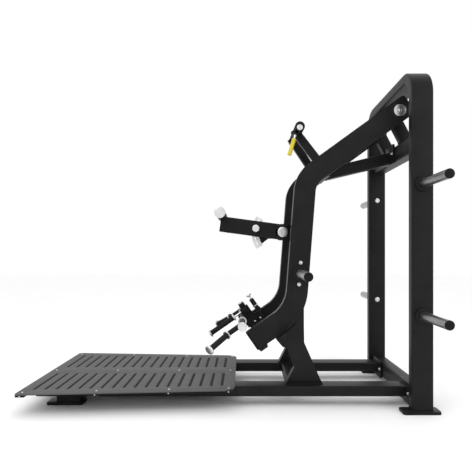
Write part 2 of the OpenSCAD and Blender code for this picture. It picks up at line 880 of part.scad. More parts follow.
// Fixed plate of index holes under the head
module head_index_plate() {
    color(steel_black) in_head() translate([swivel_back, 0, plate_n]) difference() {
        intersection() {
            cylinder(h = index_t, r = 92);
            linear_extrude(20) polygon([[-30, -22], [100, -88], [100, 88], [-30, 22]]);
        }
        translate([0, 0, -1]) cylinder(h = 10, r = post_r);
        for (a = [-head_turn:15:head_turn]) rotate([0, 0, a]) translate([lock_back - swivel_back, 0, -1])
            cylinder(h = 10, r = pin_r + play);
    }
}

module head_post() {
    color(chrome) in_head() translate([swivel_back, 0, -70]) {
        cylinder(h = 143, r = post_r);
        translate([0, 0, 143]) cylinder(h = 7, r = 20);
    }
}

core_r = 16;
branch_y = 350;                     // branches of the crossbar that carry the flared grips
branch_u = 96;
flare = 42;
flare_r = 10;
grip_len = 176;
grip_r = 17;
rod_r = 7;
rod_back = 10;
middle_n = 22;                      // height of the middle grip over the crossbar
middle_u = -48;                     // where the middle grip starts
middle_len = 194;

// Clamp block, swivel hub and lock pin barrel, with the core bars of the outer grips
module head_body() {
    color(steel_black) in_head() difference() {
        union() {
            translate([-26, -38, -23]) cube([94, 76, 12]);
            translate([-26, -38, -11]) cube([52, 76, 25]);
            translate([swivel_back, 0, -11]) cylinder(h = 56, r = 31);
            translate([swivel_back, 0, 45]) cylinder(h = 27.5, r = 19.5);
            translate([60, -19, -23]) cube([lock_back - 60, 38, 12]);
            translate([lock_back, 0, -23]) cylinder(h = 12, r = 19);
            translate([lock_back, 0, -11]) cylinder(h = 70, r = 15);
            translate([0, crossbar_half - 8, 0]) rotate([90, 0, 0])
                cylinder(h = 2 * crossbar_half - 16, r = core_r);
            for (s = sides) {
                translate([0, s * branch_y, 0]) rotate([0, -90, 0]) cylinder(h = branch_u, r = 15);
                on_branch(s) cylinder(h = grip_len - 12, r = flare_r);
            }
        }
        translate([swivel_back, 0, -30]) cylinder(h = 120, r = post_r + play);
        translate([lock_back, 0, -30]) cylinder(h = 100, r = pin_r + play);
        translate([rod_back, 0, middle_n]) rotate([0, -90, 0]) cylinder(h = 60, r = rod_r);
    }
}

// Puts a child drawn along +Z at the end of a branch, along its flared grip
module on_branch(s) {
    translate([-branch_u, s * branch_y, 0]) rotate([0, 0, -s * flare]) rotate([0, -90, 0])
        children();
}

// Rod of the middle grip, let into the hub
module head_rod() {
    color(chrome) in_head() translate([rod_back, 0, middle_n]) rotate([0, -90, 0])
        cylinder(h = rod_back - middle_u + middle_len - 12, r = rod_r);
}

module head_grips() {
    start = 368;
    color(rubber_black) {
        for (s = sides) difference() {
            y0 = s > 0 ? start : 8 - crossbar_half;
            bar_y(head_at, y0, y0 + crossbar_half - 8 - start, crossbar_r);
            bar_y(head_at, -crossbar_half, crossbar_half, core_r);
        }
        in_head() {
            for (s = sides) on_branch(s) difference() {
                translate([0, 0, 22]) cylinder(h = grip_len - 34, r = grip_r);
                cylinder(h = grip_len, r = flare_r);
            }
            translate([middle_u - 8, 0, middle_n]) rotate([0, -90, 0]) difference() {
                cylinder(h = middle_len - 20, r = grip_r);
                translate([0, 0, -1]) cylinder(h = middle_len, r = rod_r);
            }
        }
    }
}

// A plain ring around a bar of radius r, along +Z
module trim_ring(h, r_out, r_in) {
    difference() {
        cylinder(h = h, r = r_out);
        translate([0, 0, -1]) cylinder(h = h + 2, r = r_in);
    }
}

// Chrome collars and end caps of the head's bars and grips
module head_trim() {
    color(chrome) in_head() {
        for (s = sides) {
            translate([0, s * 240, 0]) rotate([-90 * s, 0, 0]) trim_ring(10, 26, core_r);
            translate([0, s * (crossbar_half - 8), 0]) rotate([-90 * s, 0, 0])
                cylinder(h = 8, r = 26);
            on_branch(s) {
                translate([0, 0, 14]) trim_ring(8, 25.5, flare_r);
                translate([0, 0, grip_len - 12]) cylinder(h = 12, r = 27);
            }
        }
        translate([middle_u, 0, middle_n]) rotate([0, -90, 0]) {
            trim_ring(8, 25, rod_r);
            translate([0, 0, middle_len - 12]) cylinder(h = 12, r = 24.5);
        }
    }
}

// Pull pin, parked just clear of the index plate, with its cross handle
module head_pin() {
    color(chrome) in_head() translate([lock_back, 0, plate_n + index_t + pin_gap]) {
        cylinder(h = 108, r = pin_r);
        translate([0, -22, 108]) rotate([-90, 0, 0]) cylinder(h = 44, r = 7);
    }
}

rear_arch();
rear_feet();
upper_cross_tube();
lower_cross_tube();
right_base_rail();
left_base_rail();
rail_flanges();
flange_bolts();
rail_end_plugs();
front_feet();
deck();
deck_bearers();
deck_screws();
right_stand();
left_stand();
stand_pads();
stand_cross_tube();
storage_horn_upper_right();
storage_horn_upper_left();
storage_horn_lower_right();
storage_horn_lower_left();
storage_collars();
storage_caps();
storage_bolts();
pivot_struts();
pivot_housing();
pivot_bearings();
thrust_washers();
handle_beam();
handle_fork();
top_handlebar();
handlebar_bolts();
right_arm();
left_arm();
arm_hubs();
pivot_shaft();
pivot_caps();
arm_end_pads();
arm_cross_tubes();
load_horn_right();
load_horn_left();
load_fittings();
load_bolts();
lever_bracket();
lever_index_plate();
lever_pivot_bolt();
chest_lever();
chest_bar();
chest_bar_caps();
lever_pin();
head_bracket();
head_index_plate();
head_post();
head_body();
head_rod();
head_grips();
head_trim();
head_pin();
release_arm();
release_grip();
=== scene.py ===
import json
import math

import bmesh
import bpy
from mathutils import Matrix, Vector


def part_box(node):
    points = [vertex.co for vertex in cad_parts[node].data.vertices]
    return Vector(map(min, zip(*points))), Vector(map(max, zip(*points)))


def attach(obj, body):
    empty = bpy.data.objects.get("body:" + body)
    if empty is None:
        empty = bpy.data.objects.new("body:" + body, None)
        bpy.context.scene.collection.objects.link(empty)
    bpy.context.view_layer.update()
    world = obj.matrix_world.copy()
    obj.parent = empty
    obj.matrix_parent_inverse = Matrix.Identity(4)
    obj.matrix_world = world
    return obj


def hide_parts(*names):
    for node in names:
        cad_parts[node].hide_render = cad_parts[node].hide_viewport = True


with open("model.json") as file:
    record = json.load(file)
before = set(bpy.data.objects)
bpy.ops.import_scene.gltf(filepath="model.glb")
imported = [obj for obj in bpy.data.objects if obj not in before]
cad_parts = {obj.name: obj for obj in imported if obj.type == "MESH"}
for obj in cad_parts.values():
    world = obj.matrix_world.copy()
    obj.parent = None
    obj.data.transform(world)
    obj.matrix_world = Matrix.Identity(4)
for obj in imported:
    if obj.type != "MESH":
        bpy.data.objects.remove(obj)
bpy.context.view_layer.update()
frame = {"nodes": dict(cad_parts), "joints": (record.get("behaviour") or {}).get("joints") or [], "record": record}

NODES = frame["nodes"]
X, Y, Z = Vector((1, 0, 0)), Vector((0, 1, 0)), Vector((0, 0, 1))
SIDES = (-1, 1)
TUBE_R = 9.0          # outer corner radius of the rectangular tube, mm


# ---- camera, floor, light

def make_camera():
    """The photo's camera: level, and square to the machine's side."""
    data = bpy.data.cameras.new("camera")
    data.sensor_width = 36
    data.lens = 35.08
    data.shift_x = -0.0148
    data.shift_y = 0.0318
    data.clip_end = 50
    camera = bpy.data.objects.new("camera", data)
    camera.location = (0.076, -3.002, 0.901)
    camera.rotation_euler = (math.radians(90), 0, 0)
    bpy.context.collection.objects.link(camera)
    bpy.context.scene.camera = camera


def area_light(name, place, target, size, watts):
    data = bpy.data.lights.new(name, "AREA")
    data.shape = "RECTANGLE"
    data.size, data.size_y = size
    data.energy = watts
    light = bpy.data.objects.new(name, data)
    light.location = place
    light.rotation_euler = (Vector(target) - Vector(place)).to_track_quat("-Z", "Y").to_euler()
    bpy.context.collection.objects.link(light)


def make_light():
    world = bpy.data.worlds.new("studio")
    bpy.context.scene.world = world
    world.use_nodes = True
    world.node_tree.nodes["Background"].inputs["Color"].default_value = (1, 1, 1, 1)
    world.node_tree.nodes["Background"].inputs["Strength"].default_value = 1.0
    bpy.context.scene.view_settings.view_transform = "Standard"
    area_light("key", (-1.6, -2.8, 3.6), (0.2, 0, 0.7), (2.6, 2.0), 36)
    area_light("fill", (2.6, -2.2, 2.2), (0.4, 0, 0.9), (1.8, 2.4), 12)
    area_light("top", (0.2, 0.4, 4.2), (0.2, 0, 0), (3.4, 2.8), 22)


# ---- materials

class Shader:
    """A material with a Principled shader and short ways to add nodes to it."""

    def __init__(self, name, roughness, metallic=0.0, **sockets):
        self.material = bpy.data.materials.new(name)
        self.material.use_nodes = True
        self.tree = self.material.node_tree
        self.shader = self.tree.nodes["Principled BSDF"]
        self.shader.inputs["Roughness"].default_value = roughness
        self.shader.inputs["Metallic"].default_value = metallic
        for socket, value in sockets.items():
            self.shader.inputs[socket.replace("_", " ")].default_value = value
        self.coords = self.tree.nodes.new("ShaderNodeTexCoord").outputs["Object"]

    def node(self, kind, **inputs):
        made = self.tree.nodes.new(kind)
        for name, value in inputs.items():
            socket = made.inputs[name.replace("_", " ")]
            if isinstance(value, bpy.types.NodeSocket):
                self.tree.links.new(value, socket)
            else:
                socket.default_value = value
        return made

    def noise(self, scale, detail=3.0, roughness=0.55, stretch=None):
        coords = self.coords
        if stretch:
            coords = self.node("ShaderNodeMapping", Vector=coords, Scale=stretch).outputs["Vector"]
        made = self.node("ShaderNodeTexNoise", Vector=coords, Scale=scale, Detail=detail,
                         Roughness=roughness)
        return made.outputs["Fac"]

    def ramp(self, fac, low, high, start=0.3, end=0.7):
        made = self.node("ShaderNodeValToRGB", Fac=fac)
        stops = made.color_ramp.elements
        stops[0].position, stops[1].position = start, end
        stops[0].color, stops[1].color = (*low, 1), (*high, 1)
        return made.outputs["Color"]

    def vary_roughness(self, fac, low, high):
        made = self.node("ShaderNodeMapRange", Value=fac, To_Min=low, To_Max=high)
        self.tree.links.new(made.outputs["Result"], self.shader.inputs["Roughness"])

    def color(self, socket):
        self.tree.links.new(socket, self.shader.inputs["Base Color"])

    def bump(self, heights, strength, distance):
        """Bumps from several height sockets, each on top of the last."""
        normal = None
        for height in heights:
            made = self.node("ShaderNodeBump", Height=height, Strength=strength, Distance=distance)
            if normal:
                self.tree.links.new(normal, made.inputs["Normal"])
            normal = made.outputs["Normal"]
        self.tree.links.new(normal, self.shader.inputs["Normal"])


def coated(name, roughness, tint, low, high, gloss, rough, grains, bump, **sockets):
    """A material of mottled colour and uneven gloss, with a fine grain."""
    m = Shader(name, roughness, **sockets)
    m.color(m.ramp(m.noise(*tint), low, high))
    m.vary_roughness(m.noise(*gloss), *rough)
    m.bump([m.noise(scale, detail) for scale, detail in grains], *bump)
    return m.material


def deck_coat():
    """Grey coat with a sandy anti-slip grain."""
    m = Shader("grey_deck_coat", 0.68, Specular_IOR_Level=0.3)
    grain = m.noise(900, 4, 0.7)
    wear = m.noise(6, 5, 0.6)
    base = m.ramp(wear, (0.080, 0.080, 0.082), (0.100, 0.100, 0.102))
    speck = m.ramp(grain, (0.78, 0.78, 0.78), (1.12, 1.12, 1.12), 0.35, 0.65)
    mixed = m.node("ShaderNodeMix")
    mixed.data_type = "RGBA"
    mixed.blend_type = "MULTIPLY"
    mixed.inputs["Factor"].default_value = 1.0
    m.tree.links.new(base, mixed.inputs[6])
    m.tree.links.new(speck, mixed.inputs[7])
    m.color(mixed.outputs[2])
    m.vary_roughness(wear, 0.58, 0.74)
    m.bump([grain], 0.5, 0.0005)
    return m.material


def turned_sleeve():
    """Satin steel with fine rings left by the lathe and light plate scuffs."""
    m = Shader("turned_sleeve", 0.34, 1.0)
    rings = m.noise(240, 3, 0.6, (0.02, 1.0, 0.02))
    scuffs = m.noise(22, 6, 0.7, (1.0, 0.35, 1.0))
    m.color(m.ramp(scuffs, (0.26, 0.26, 0.27), (0.38, 0.38, 0.39)))
    m.vary_roughness(rings, 0.26, 0.44)
    m.bump([rings], 0.25, 0.0002)
    return m.material


def pale_floor():
    m = Shader("pale_floor", 0.85)
    m.color(m.ramp(m.noise(1.5, 2), (0.965, 0.965, 0.965), (0.985, 0.985, 0.985)))
    return m.material


MATERIALS = {
    # satin powder coat: fine orange peel, faint dust and handling marks
    "black_steel": coated(
        "black_powder_coat", 0.42, (9, 5), (0.0072, 0.0072, 0.0074), (0.0112, 0.0112, 0.0114),
        (34, 6, 0.65), (0.34, 0.48), [(650, 2), (160, 2)], (0.16, 0.0003),
        Specular_IOR_Level=0.13),
    "grey_deck": deck_coat(),
    "chrome_steel": coated(
        "chrome_plate", 0.3, (20, 3), (0.62, 0.62, 0.63), (0.72, 0.72, 0.73),
        (90, 5, 0.6), (0.26, 0.36), [(260, 2)], (0.05, 0.0002), metallic=1.0),
    "sleeve_steel": turned_sleeve(),
    "black_rubber": coated(
        "black_rubber", 0.72, (30, 5), (0.0090, 0.0090, 0.0092), (0.0150, 0.0150, 0.0153),
        (120, 4), (0.62, 0.82), [(800, 3)], (0.25, 0.0004), Specular_IOR_Level=0.18),
    "black_plastic": coated(
        "black_plastic", 0.55, (25, 4), (0.0055, 0.0055, 0.0056), (0.0085, 0.0085, 0.0087),
        (60, 4), (0.42, 0.58), [(500, 2)], (0.14, 0.0003), Specular_IOR_Level=0.12),
    "yellow_grip": coated(
        "yellow_rubber", 0.45, (24, 4), (0.55, 0.43, 0.008), (0.63, 0.50, 0.014),
        (90, 4), (0.38, 0.55), [(420, 3)], (0.15, 0.0003))}
# the same black coat over a rippled bead
WELD = coated(
    "coated_weld", 0.48, (80, 4), (0.0068, 0.0068, 0.0070), (0.0108, 0.0108, 0.0110),
    (200, 3), (0.4, 0.56), [(420, 3)], (0.3, 0.0004), Specular_IOR_Level=0.2)


# ---- shapes, in millimetres

CORNERS = ((1, 1), (-1, 1), (-1, -1), (1, -1))


def arc(r, start, turn, n, x=0, y=0):
    """Points of an arc about (x, y), both ends included; angles in degrees."""
    return [(x + r * math.cos(a), y + r * math.sin(a)) for a in
            (math.radians(start + turn * k / n) for k in range(n + 1))]


def circle(r, n, x=0, y=0):
    return arc(r, 0, 360, n, x, y)[:-1]


def hole_ring(r, hole_r, headings, n):
    """Round holes on a circle about the origin."""
    return [circle(hole_r, n, *arc(r, a, 0, 1)[0]) for a in headings]


def rounded_section(w, h, r, n=5):
    """Outline of a rectangle with rounded corners, centred on the origin."""
    return [p for i, (a, b) in enumerate(CORNERS)
            for p in arc(r, 90 * i, 90, n, a * (w / 2 - r), b * (h / 2 - r))]


def rounded_outline(points, radii, steps):
    """Corners of a 2-D outline, each rounded by its own radius."""
    out = []
    for i, p in enumerate(points):
        p, a, b = Vector(p), Vector(points[i - 1]), Vector(points[(i + 1) % len(points)])
        if radii[i] <= 0:
            out.append(p)
            continue
        u, v = (a - p).normalized(), (b - p).normalized()
        half = u.angle(v) / 2
        centre = p + (u + v).normalized() * radii[i] / math.sin(half)
        start = p + u * radii[i] / math.tan(half) - centre
        end = p + v * radii[i] / math.tan(half) - centre
        for k in range(steps + 1):
            out.append(centre + start.slerp(end, k / steps).normalized() * radii[i])
    return out


def route(points, radius, steps):
    """Points and tangents along a planar route with rounded corners."""
    points = [Vector(p) for p in points]
    out = [(points[0], (points[1] - points[0]).normalized())]
    for a, p, b in zip(points, points[1:], points[2:]):
        d0, d1 = (p - a).normalized(), (b - p).normalized()
        turn = d0.angle(d1)
        axis = d0.cross(d1).normalized()
        inward = axis.cross(d0)
        centre = p - d0 * radius * math.tan(turn / 2) + inward * radius
        for k in range(steps + 1):
            spin = Matrix.Rotation(turn * k / steps, 3, axis)
            out.append((centre - spin @ inward * radius, spin @ d0))
    out.append((points[-1], (points[-1] - points[-2]).normalized()))
    return out


class Part:
    """Collects the solids of one piece."""

    def __init__(self):
        self.bm = bmesh.new()

    def rings(self, rings, closed=False):
        """Skins rings of points, and caps the two ends of an open skin."""
        made = [[self.bm.verts.new(p) for p in ring] for ring in rings]
        pairs = list(zip(made, made[1:])) + ([(made[-1], made[0])] if closed else [])
        for lo, hi in pairs:
            n = max(len(lo), len(hi))
            for k in range(n):
                face = [lo[k % len(lo)], lo[(k + 1) % len(lo)],
                        hi[(k + 1) % len(hi)], hi[k % len(hi)]]
                self.bm.faces.new(list(dict.fromkeys(face)))
        if not closed:
            for end in (made[0], made[-1]):
                if len(end) > 2:
                    self.bm.faces.new(end)
        return self

    def sweep(self, way, side, section):
        """Carries a section along a route: its first size lies along side."""
        side = Vector(side).normalized()
        rings = []
        for p, t in way:
            across = side.cross(t)
            rings.append([p + side * a + across * b for a, b in section])
        return self.rings(rings)

    def box_tube(self, a, b, side, w, h, r=TUBE_R, end=1.2):
        """Straight tube from a to b with slightly eased ends."""
        a, b = Vector(a), Vector(b)
        t = (b - a).normalized()
        side = Vector(side).normalized()
        across = side.cross(t)
        rings = []
        for p, ease in ((a, end), (a + t * end, 0), (b - t * end, 0), (b, end)):
            section = rounded_section(w - 2 * ease, h - 2 * ease, max(r - ease, 0.5))
            rings.append([p + side * x + across * y for x, y in section])
        return self.rings(rings)

    def lathe(self, origin, axis, profile, segments=48, closed=False):
        """Turns a profile of (distance along the axis, radius) about the axis."""
        origin, axis = Vector(origin), Vector(axis).normalized()
        u = axis.orthogonal().normalized()
        v = axis.cross(u)
        rings = []
        for z, r in profile:
            c = origin + axis * z
            if r < 1e-6:
                rings.append([c])
            else:
                rings.append([c + (u * math.cos(a) + v * math.sin(a)) * r
                              for a in (2 * math.pi * k / segments for k in range(segments))])
        return self.rings(rings, closed)

    def disc(self, origin, axis, h, r, ease=1.0, segments=48):
        """Round bar or disc with eased edges."""
        q = ease * 0.3
        return self.lathe(origin, axis, [(0, r - ease), (q, r - q), (ease, r), (h - ease, r),
                                         (h - q, r - q), (h, r - ease)], segments)

    def ring(self, origin, axis, h, r_out, r_in, ease=1.0, segments=48):
        return self.lathe(origin, axis, [(0, r_in), (0, r_out - ease), (ease, r_out),
                                         (h - ease, r_out), (h, r_out - ease), (h, r_in)],
                          segments, closed=True)

    def slab(self, points, thick, ease=1.5, segments=2):
        """A flat outline, thickened along a vector, with its face edges rounded."""
        low = [Vector(p) for p in points]
        made = [[self.bm.verts.new(p) for p in low],
                [self.bm.verts.new(p + Vector(thick)) for p in low]]
        n = len(low)
        faces = [self.bm.faces.new(made[0]), self.bm.faces.new(list(reversed(made[1])))]
        for k in range(n):
            self.bm.faces.new([made[0][k], made[1][k], made[1][(k + 1) % n], made[0][(k + 1) % n]])
        if ease:
            edges = list({e for f in faces for e in f.edges})
            bmesh.ops.bevel(self.bm, geom=edges, offset=ease, segments=segments, profile=0.5,
                            affect="EDGES", clamp_overlap=True)
        return self

    def slab_xz(self, points, y0, y1, ease=1.5, segments=2):
        return self.slab([(p[0], y0, p[1]) for p in points], (0, y1 - y0, 0), ease, segments)

    def holed(self, outer, holes, thick, place, ease=0.6):
        """A plate with holes: outlines lie in the plate's own X-Y plane."""
        curve = bpy.data.curves.new("flat", "CURVE")
        curve.dimensions = "2D"
        curve.fill_mode = "BOTH"
        curve.extrude = thick / 2 - ease
        curve.bevel_depth = ease
        curve.bevel_resolution = 1
        for loop in [outer] + holes:
            spline = curve.splines.new("POLY")
            spline.points.add(len(loop) - 1)
            for point, p in zip(spline.points, loop):
                point.co = (p[0], p[1], 0, 1)
            spline.use_cyclic_u = True
        flat = bpy.data.objects.new("flat", curve)
        bpy.context.collection.objects.link(flat)
        bpy.context.view_layer.update()
        graph = bpy.context.evaluated_depsgraph_get()
        mesh = bpy.data.meshes.new_from_object(flat.evaluated_get(graph))
        mesh.transform(place @ Matrix.Translation((0, 0, thick / 2)))
        self.bm.from_mesh(mesh)
        bpy.data.objects.remove(flat)
        bpy.data.curves.remove(curve)
        bpy.data.meshes.remove(mesh)
        return self

    def hex_head(self, origin, axis, r, h):
        """Washer and chamfered hex head of a bolt, h high together."""
        origin, axis = Vector(origin), Vector(axis).normalized()
        washer_t = 2
        self.disc(origin, axis, washer_t, r + 3, 0.5, 32)
        h = h - washer_t
        self.lathe(origin + axis * washer_t, axis,
                   [(0, r), (h - 1.5, r), (h, r * 0.86), (h, r * 0.5), (h - 0.6, r * 0.42)], 6)
        return self

    def button_screw(self, origin, axis, r, h):
        """Domed socket screw with a hex recess."""
        self.lathe(origin, axis, [(0, r), (h * 0.35, r), (h * 0.8, r * 0.8), (h, r * 0.5)], 28)
        self.lathe(Vector(origin) + Vector(axis) * (h - 0.2), axis,
                   [(0, r * 0.42), (0.4, r * 0.4)], 6)
        return self

    def weld(self, points, r=3.2, closed=True, pitch=5.0):
        """A rippled bead along a line of points."""
        points = [Vector(p) for p in points]
        if closed:
            points.append(points[0])
        line = []
        for a, b in zip(points, points[1:]):
            n = max(1, round((b - a).length / (pitch / 2)))
            line += [a.lerp(b, k / n) for k in range(n)]
        if not closed:
            line.append(points[-1])
        rings = []
        count = len(line)
        for i, p in enumerate(line):
            back = line[i - 1] if closed or i else p
            ahead = line[(i + 1) % count] if closed or i < count - 1 else p
            t = (ahead - back).normalized()
            u = t.orthogonal().normalized() if abs(t.x) > 0.999 else t.cross(X).normalized()
            v = t.cross(u)
            size = r * (1.0 if i % 2 else 0.84)
            rings.append([p + (u * math.cos(a) + v * math.sin(a)) * size
                          for a in (2 * math.pi * k / 8 for k in range(8))])
        return self.rings(rings, closed)

    def done(self, name, body, slot, replaces=(), material=None, sharp=38, clip=None):
        """Cuts, cleans and shades the mesh, and makes it a piece, in metres."""
        bm = self.bm
        for point, normal in clip or ():
            cut = bmesh.ops.bisect_plane(bm, geom=bm.verts[:] + bm.edges[:] + bm.faces[:],
                                         dist=1e-4, plane_co=point, plane_no=normal,
                                         clear_outer=True)
            edges = [e for e in cut["geom_cut"] if isinstance(e, bmesh.types.BMEdge)]
            bmesh.ops.holes_fill(bm, edges=edges)
        bmesh.ops.remove_doubles(bm, verts=bm.verts[:], dist=0.002)
        bmesh.ops.recalc_face_normals(bm, faces=bm.faces[:])
        bmesh.ops.scale(bm, vec=(0.001, 0.001, 0.001), verts=bm.verts[:])
        for face in bm.faces:
            face.smooth = True
        for edge in bm.edges:
            edge.smooth = len(edge.link_faces) == 2 and edge.calc_face_angle() < math.radians(sharp)
        mesh = bpy.data.meshes.new(name)
        bm.to_mesh(mesh)
        bm.free()
        mesh.materials.append(material or MATERIALS[slot])
        piece = bpy.data.objects.new(name, mesh)
        bpy.context.collection.objects.link(piece)
        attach(piece, body)
        if replaces:
            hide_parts(*replaces)
        return piece


def low_high(node):
    """Corners of a CAD node's box in millimetres."""
    low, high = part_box(node)
    return low * 1000, high * 1000


def middle(node):
    low, high = low_high(node)
    return (low + high) / 2


def heading(a):
    return Vector((math.cos(math.radians(a)), 0, math.sin(math.radians(a))))


JOINTS = {j["name"]: j for j in frame["joints"]}
PIVOT = Vector(JOINTS["arm_swing"]["pos_m"]) * 1000
LEVER = Vector(JOINTS["lever_adjust"]["pos_m"]) * 1000


# ---- the swing arms' centre line

TOP, MID, LOW = 180 + 35.9, 270 - 4.4, 180 + 34.7   # headings of its three legs
LEGS = 680.0, 786.0, 309.0                          # their lengths between the bend corners
BEND_R = 155.0, 262.0                               # upper and lower bend, on the centre line
ARM_HALF = 62.5                                     # half of the arm's depth
ARM_TAIL = 75.0                                     # the arm's length past the pivot
BEND_1 = PIVOT + heading(TOP) * LEGS[0]
BEND_2 = BEND_1 + heading(MID) * LEGS[1]
ARM_END = BEND_2 + heading(LOW) * LEGS[2]
MID_CROSS = BEND_2 + heading(MID + 180) * 481       # middles of the two cross tubes
LOW_CROSS = ARM_END + heading(LOW - 180) * 75
MID_CROSS_D = 66.0
ARM_BEND_LOW = BEND_2 - heading(MID) * BEND_R[1] * math.tan(math.radians((MID - LOW) / 2)) \
    + heading(MID - 90) * BEND_R[1]
ARM_OUT = low_high("left_arm")[1].y
ARM_IN = low_high("left_arm")[0].y


# ---- frame

ARCH_LOW, ARCH_HIGH = low_high("rear_arch")
ARCH_X = (ARCH_LOW.x + ARCH_HIGH.x) / 2
ARCH_D = ARCH_HIGH.x - ARCH_LOW.x
ARCH_T = 60.0
UPRIGHT_Y = ARCH_HIGH.y - ARCH_T / 2
RAIL_LOW, RAIL_HIGH = low_high("left_base_rail")
RAIL_Y = (RAIL_LOW.y + RAIL_HIGH.y) / 2
RAIL_W = RAIL_HIGH.y - RAIL_LOW.y
CROSS_LOW, CROSS_HIGH = low_high("upper_cross_tube")
ARCH_BEND_R = 115.0    # on the tube's centre line
RAIL_FLANGE_W = 176.0
RAIL_BOLT = 74, 78     # beside the rail's middle and above the floor
BEAM_Z = 1499.0        # root of the handle beam
BEAM_FLANGE_Z = 1522.0
BEAM_BOLT_Y = 60
STRUT_Y = 165
STRUT_D = 74.0


def rect_yz(x, y, z, w, h):
    """Corners of an upright rectangle square to X, for a weld."""
    return [(x, y + a * w / 2, z + b * h / 2) for a, b in CORNERS]


def rect_xy(x, y, z, w, h):
    return [(x + a * w / 2, y + b * h / 2, z) for a, b in CORNERS]


def rect_xz(x, y, z, w, h):
    return [(x + a * w / 2, y, z + b * h / 2) for a, b in CORNERS]


def tube_skin(node, along, side):
    """Straight tube that fills its CAD node's box; returns its middle and half its size."""
    low, high = low_high(node)
    c, half = (low + high) / 2, (high - low) / 2
    reach = along * half.dot(along)
    Part().box_tube(c - reach, c + reach, side, 2 * half.dot(side), 2 * half.z, end=0.3).done(
        node + "_skin", "frame", "black_steel", [node])
    return c, half


def make_frame():
    welds = Part()

    arch = Part()
    top = ARCH_HIGH.z - ARCH_T / 2
    way = route([(ARCH_X, -UPRIGHT_Y, ARCH_LOW.z), (ARCH_X, -UPRIGHT_Y, top),
                 (ARCH_X, UPRIGHT_Y, top), (ARCH_X, UPRIGHT_Y, ARCH_LOW.z)],
                ARCH_BEND_R, 24)
    arch.sweep(way, X, rounded_section(ARCH_D, ARCH_T, TUBE_R, 6))
    arch.done("rear_arch_tube", "frame", "black_steel", ["rear_arch"])

    feet = Part()
    foot_low, foot_high = low_high("rear_feet")
    foot_x = (foot_low.x + foot_high.x) / 2
    foot_w = foot_high.y - UPRIGHT_Y
    outline = rounded_section(foot_high.x - foot_low.x, 2 * foot_w, 12, 6)
    for s in SIDES:
        feet.slab([(foot_x + x, s * UPRIGHT_Y + y, 0) for x, y in outline],
                  (0, 0, foot_high.z), 2.0)
        welds.weld(rect_xy(ARCH_X, s * UPRIGHT_Y, foot_high.z + 1, ARCH_D + 2, ARCH_T + 2))
    feet.done("rear_foot_plates", "frame", "black_steel", ["rear_feet"])

    for node in ("upper_cross_tube", "lower_cross_tube"):
        c, half = tube_skin(node, Y, X)
        for s in SIDES:
            welds.weld(rect_xz(c.x, s * (half.y - 1), c.z, 2 * half.x, 2 * half.z))

    for node in ("right_base_rail", "left_base_rail"):
        c, half = tube_skin(node, X, Y)
        welds.weld(rect_yz(c.x + half.x - 1, c.y, c.z, 2 * half.y, 2 * half.z))

    flanges, bolts = Part(), Part()
    low, high = low_high("rail_flanges")
    for s in SIDES:
        outline = rounded_section(RAIL_FLANGE_W, high.z - low.z, 7, 5)
        flanges.slab([(low.x, s * RAIL_Y + y, (low.z + high.z) / 2 + z) for y, z in outline],
                     (high.x - low.x, 0, 0), 1.5)
        for k in SIDES:
            bolts.hex_head((low.x, s * RAIL_Y + k * RAIL_BOLT[0], RAIL_BOLT[1]), -X, 9, 10)
    for k in SIDES:
        bolts.hex_head((low.x, k * BEAM_BOLT_Y, BEAM_FLANGE_Z), -X, 9, 10)
    flanges.done("rail_flange_plates", "frame", "black_steel", ["rail_flanges"])
    bolts.done("flange_hex_bolts", "frame", "chrome_steel", ["flange_bolts"])

    plugs = Part()
    low, high = low_high("rail_end_plugs")
    rail_z = (RAIL_LOW.z + RAIL_HIGH.z) / 2
    outline = rounded_section(RAIL_W - 2, RAIL_HIGH.z - RAIL_LOW.z - 2, 8, 6)
    for s in SIDES:
        plugs.slab([(low.x, s * RAIL_Y + y, rail_z + z) for y, z in outline],
                   (6, 0, 0), 2.0, 3)
    plugs.done("rail_end_caps", "frame", "black_plastic", ["rail_end_plugs"])

    front = Part()
    low, high = low_high("front_feet")
    plate_w, plate_t = 96, 15
    outline = rounded_section(high.x - low.x, plate_w, 12, 6)
    foot_y = high.y - plate_w / 2
    for s in SIDES:
        front.slab([((low.x + high.x) / 2 + x, s * foot_y + y, 0) for x, y in outline],
                   (0, 0, plate_t), 2.0)
        x = (low.x + high.x) / 2 + 20
        front.box_tube((x, s * foot_y, plate_t), (x, s * foot_y, RAIL_LOW.z), X, 140, 76, end=0.2)
        welds.weld(rect_xy(x, s * foot_y, plate_t + 1, 141, 77))
        welds.weld(rect_xy(x, s * foot_y, RAIL_LOW.z - 1, 139, 75))
    front.done("front_foot_plates", "frame", "black_steel", ["front_feet"])

    make_struts(welds)
    make_handle(welds)
    make_stands(welds)
    welds.done("frame_welds", "frame", "black_steel", material=WELD, sharp=60)


def make_struts(welds):
    foot = Vector(((CROSS_LOW.x + CROSS_HIGH.x) / 2, 0, CROSS_HIGH.z))
    along = (PIVOT - foot).normalized()
    struts = Part()
    for s in SIDES:
        side = Vector((0, s * STRUT_Y, 0))
        struts.box_tube(foot + side - along * 60, PIVOT + side, Y, 60, STRUT_D, end=0)
    struts.done("pivot_strut_tubes", "frame", "black_steel", ["pivot_struts"],
                clip=[(foot, -Z)])
    for s in SIDES:
        welds.weld(rect_xy(foot.x, s * STRUT_Y, foot.z + 1, STRUT_D / along.z - 2, 62))
    low, high = low_high("pivot_housing")
    housing = Part()
    housing.disc((PIVOT.x, low.y, PIVOT.z), Y, high.y - low.y, (high.z - low.z) / 2, 2.0, 72)
    housing.done("pivot_housing_tube", "frame", "black_steel", ["pivot_housing"])


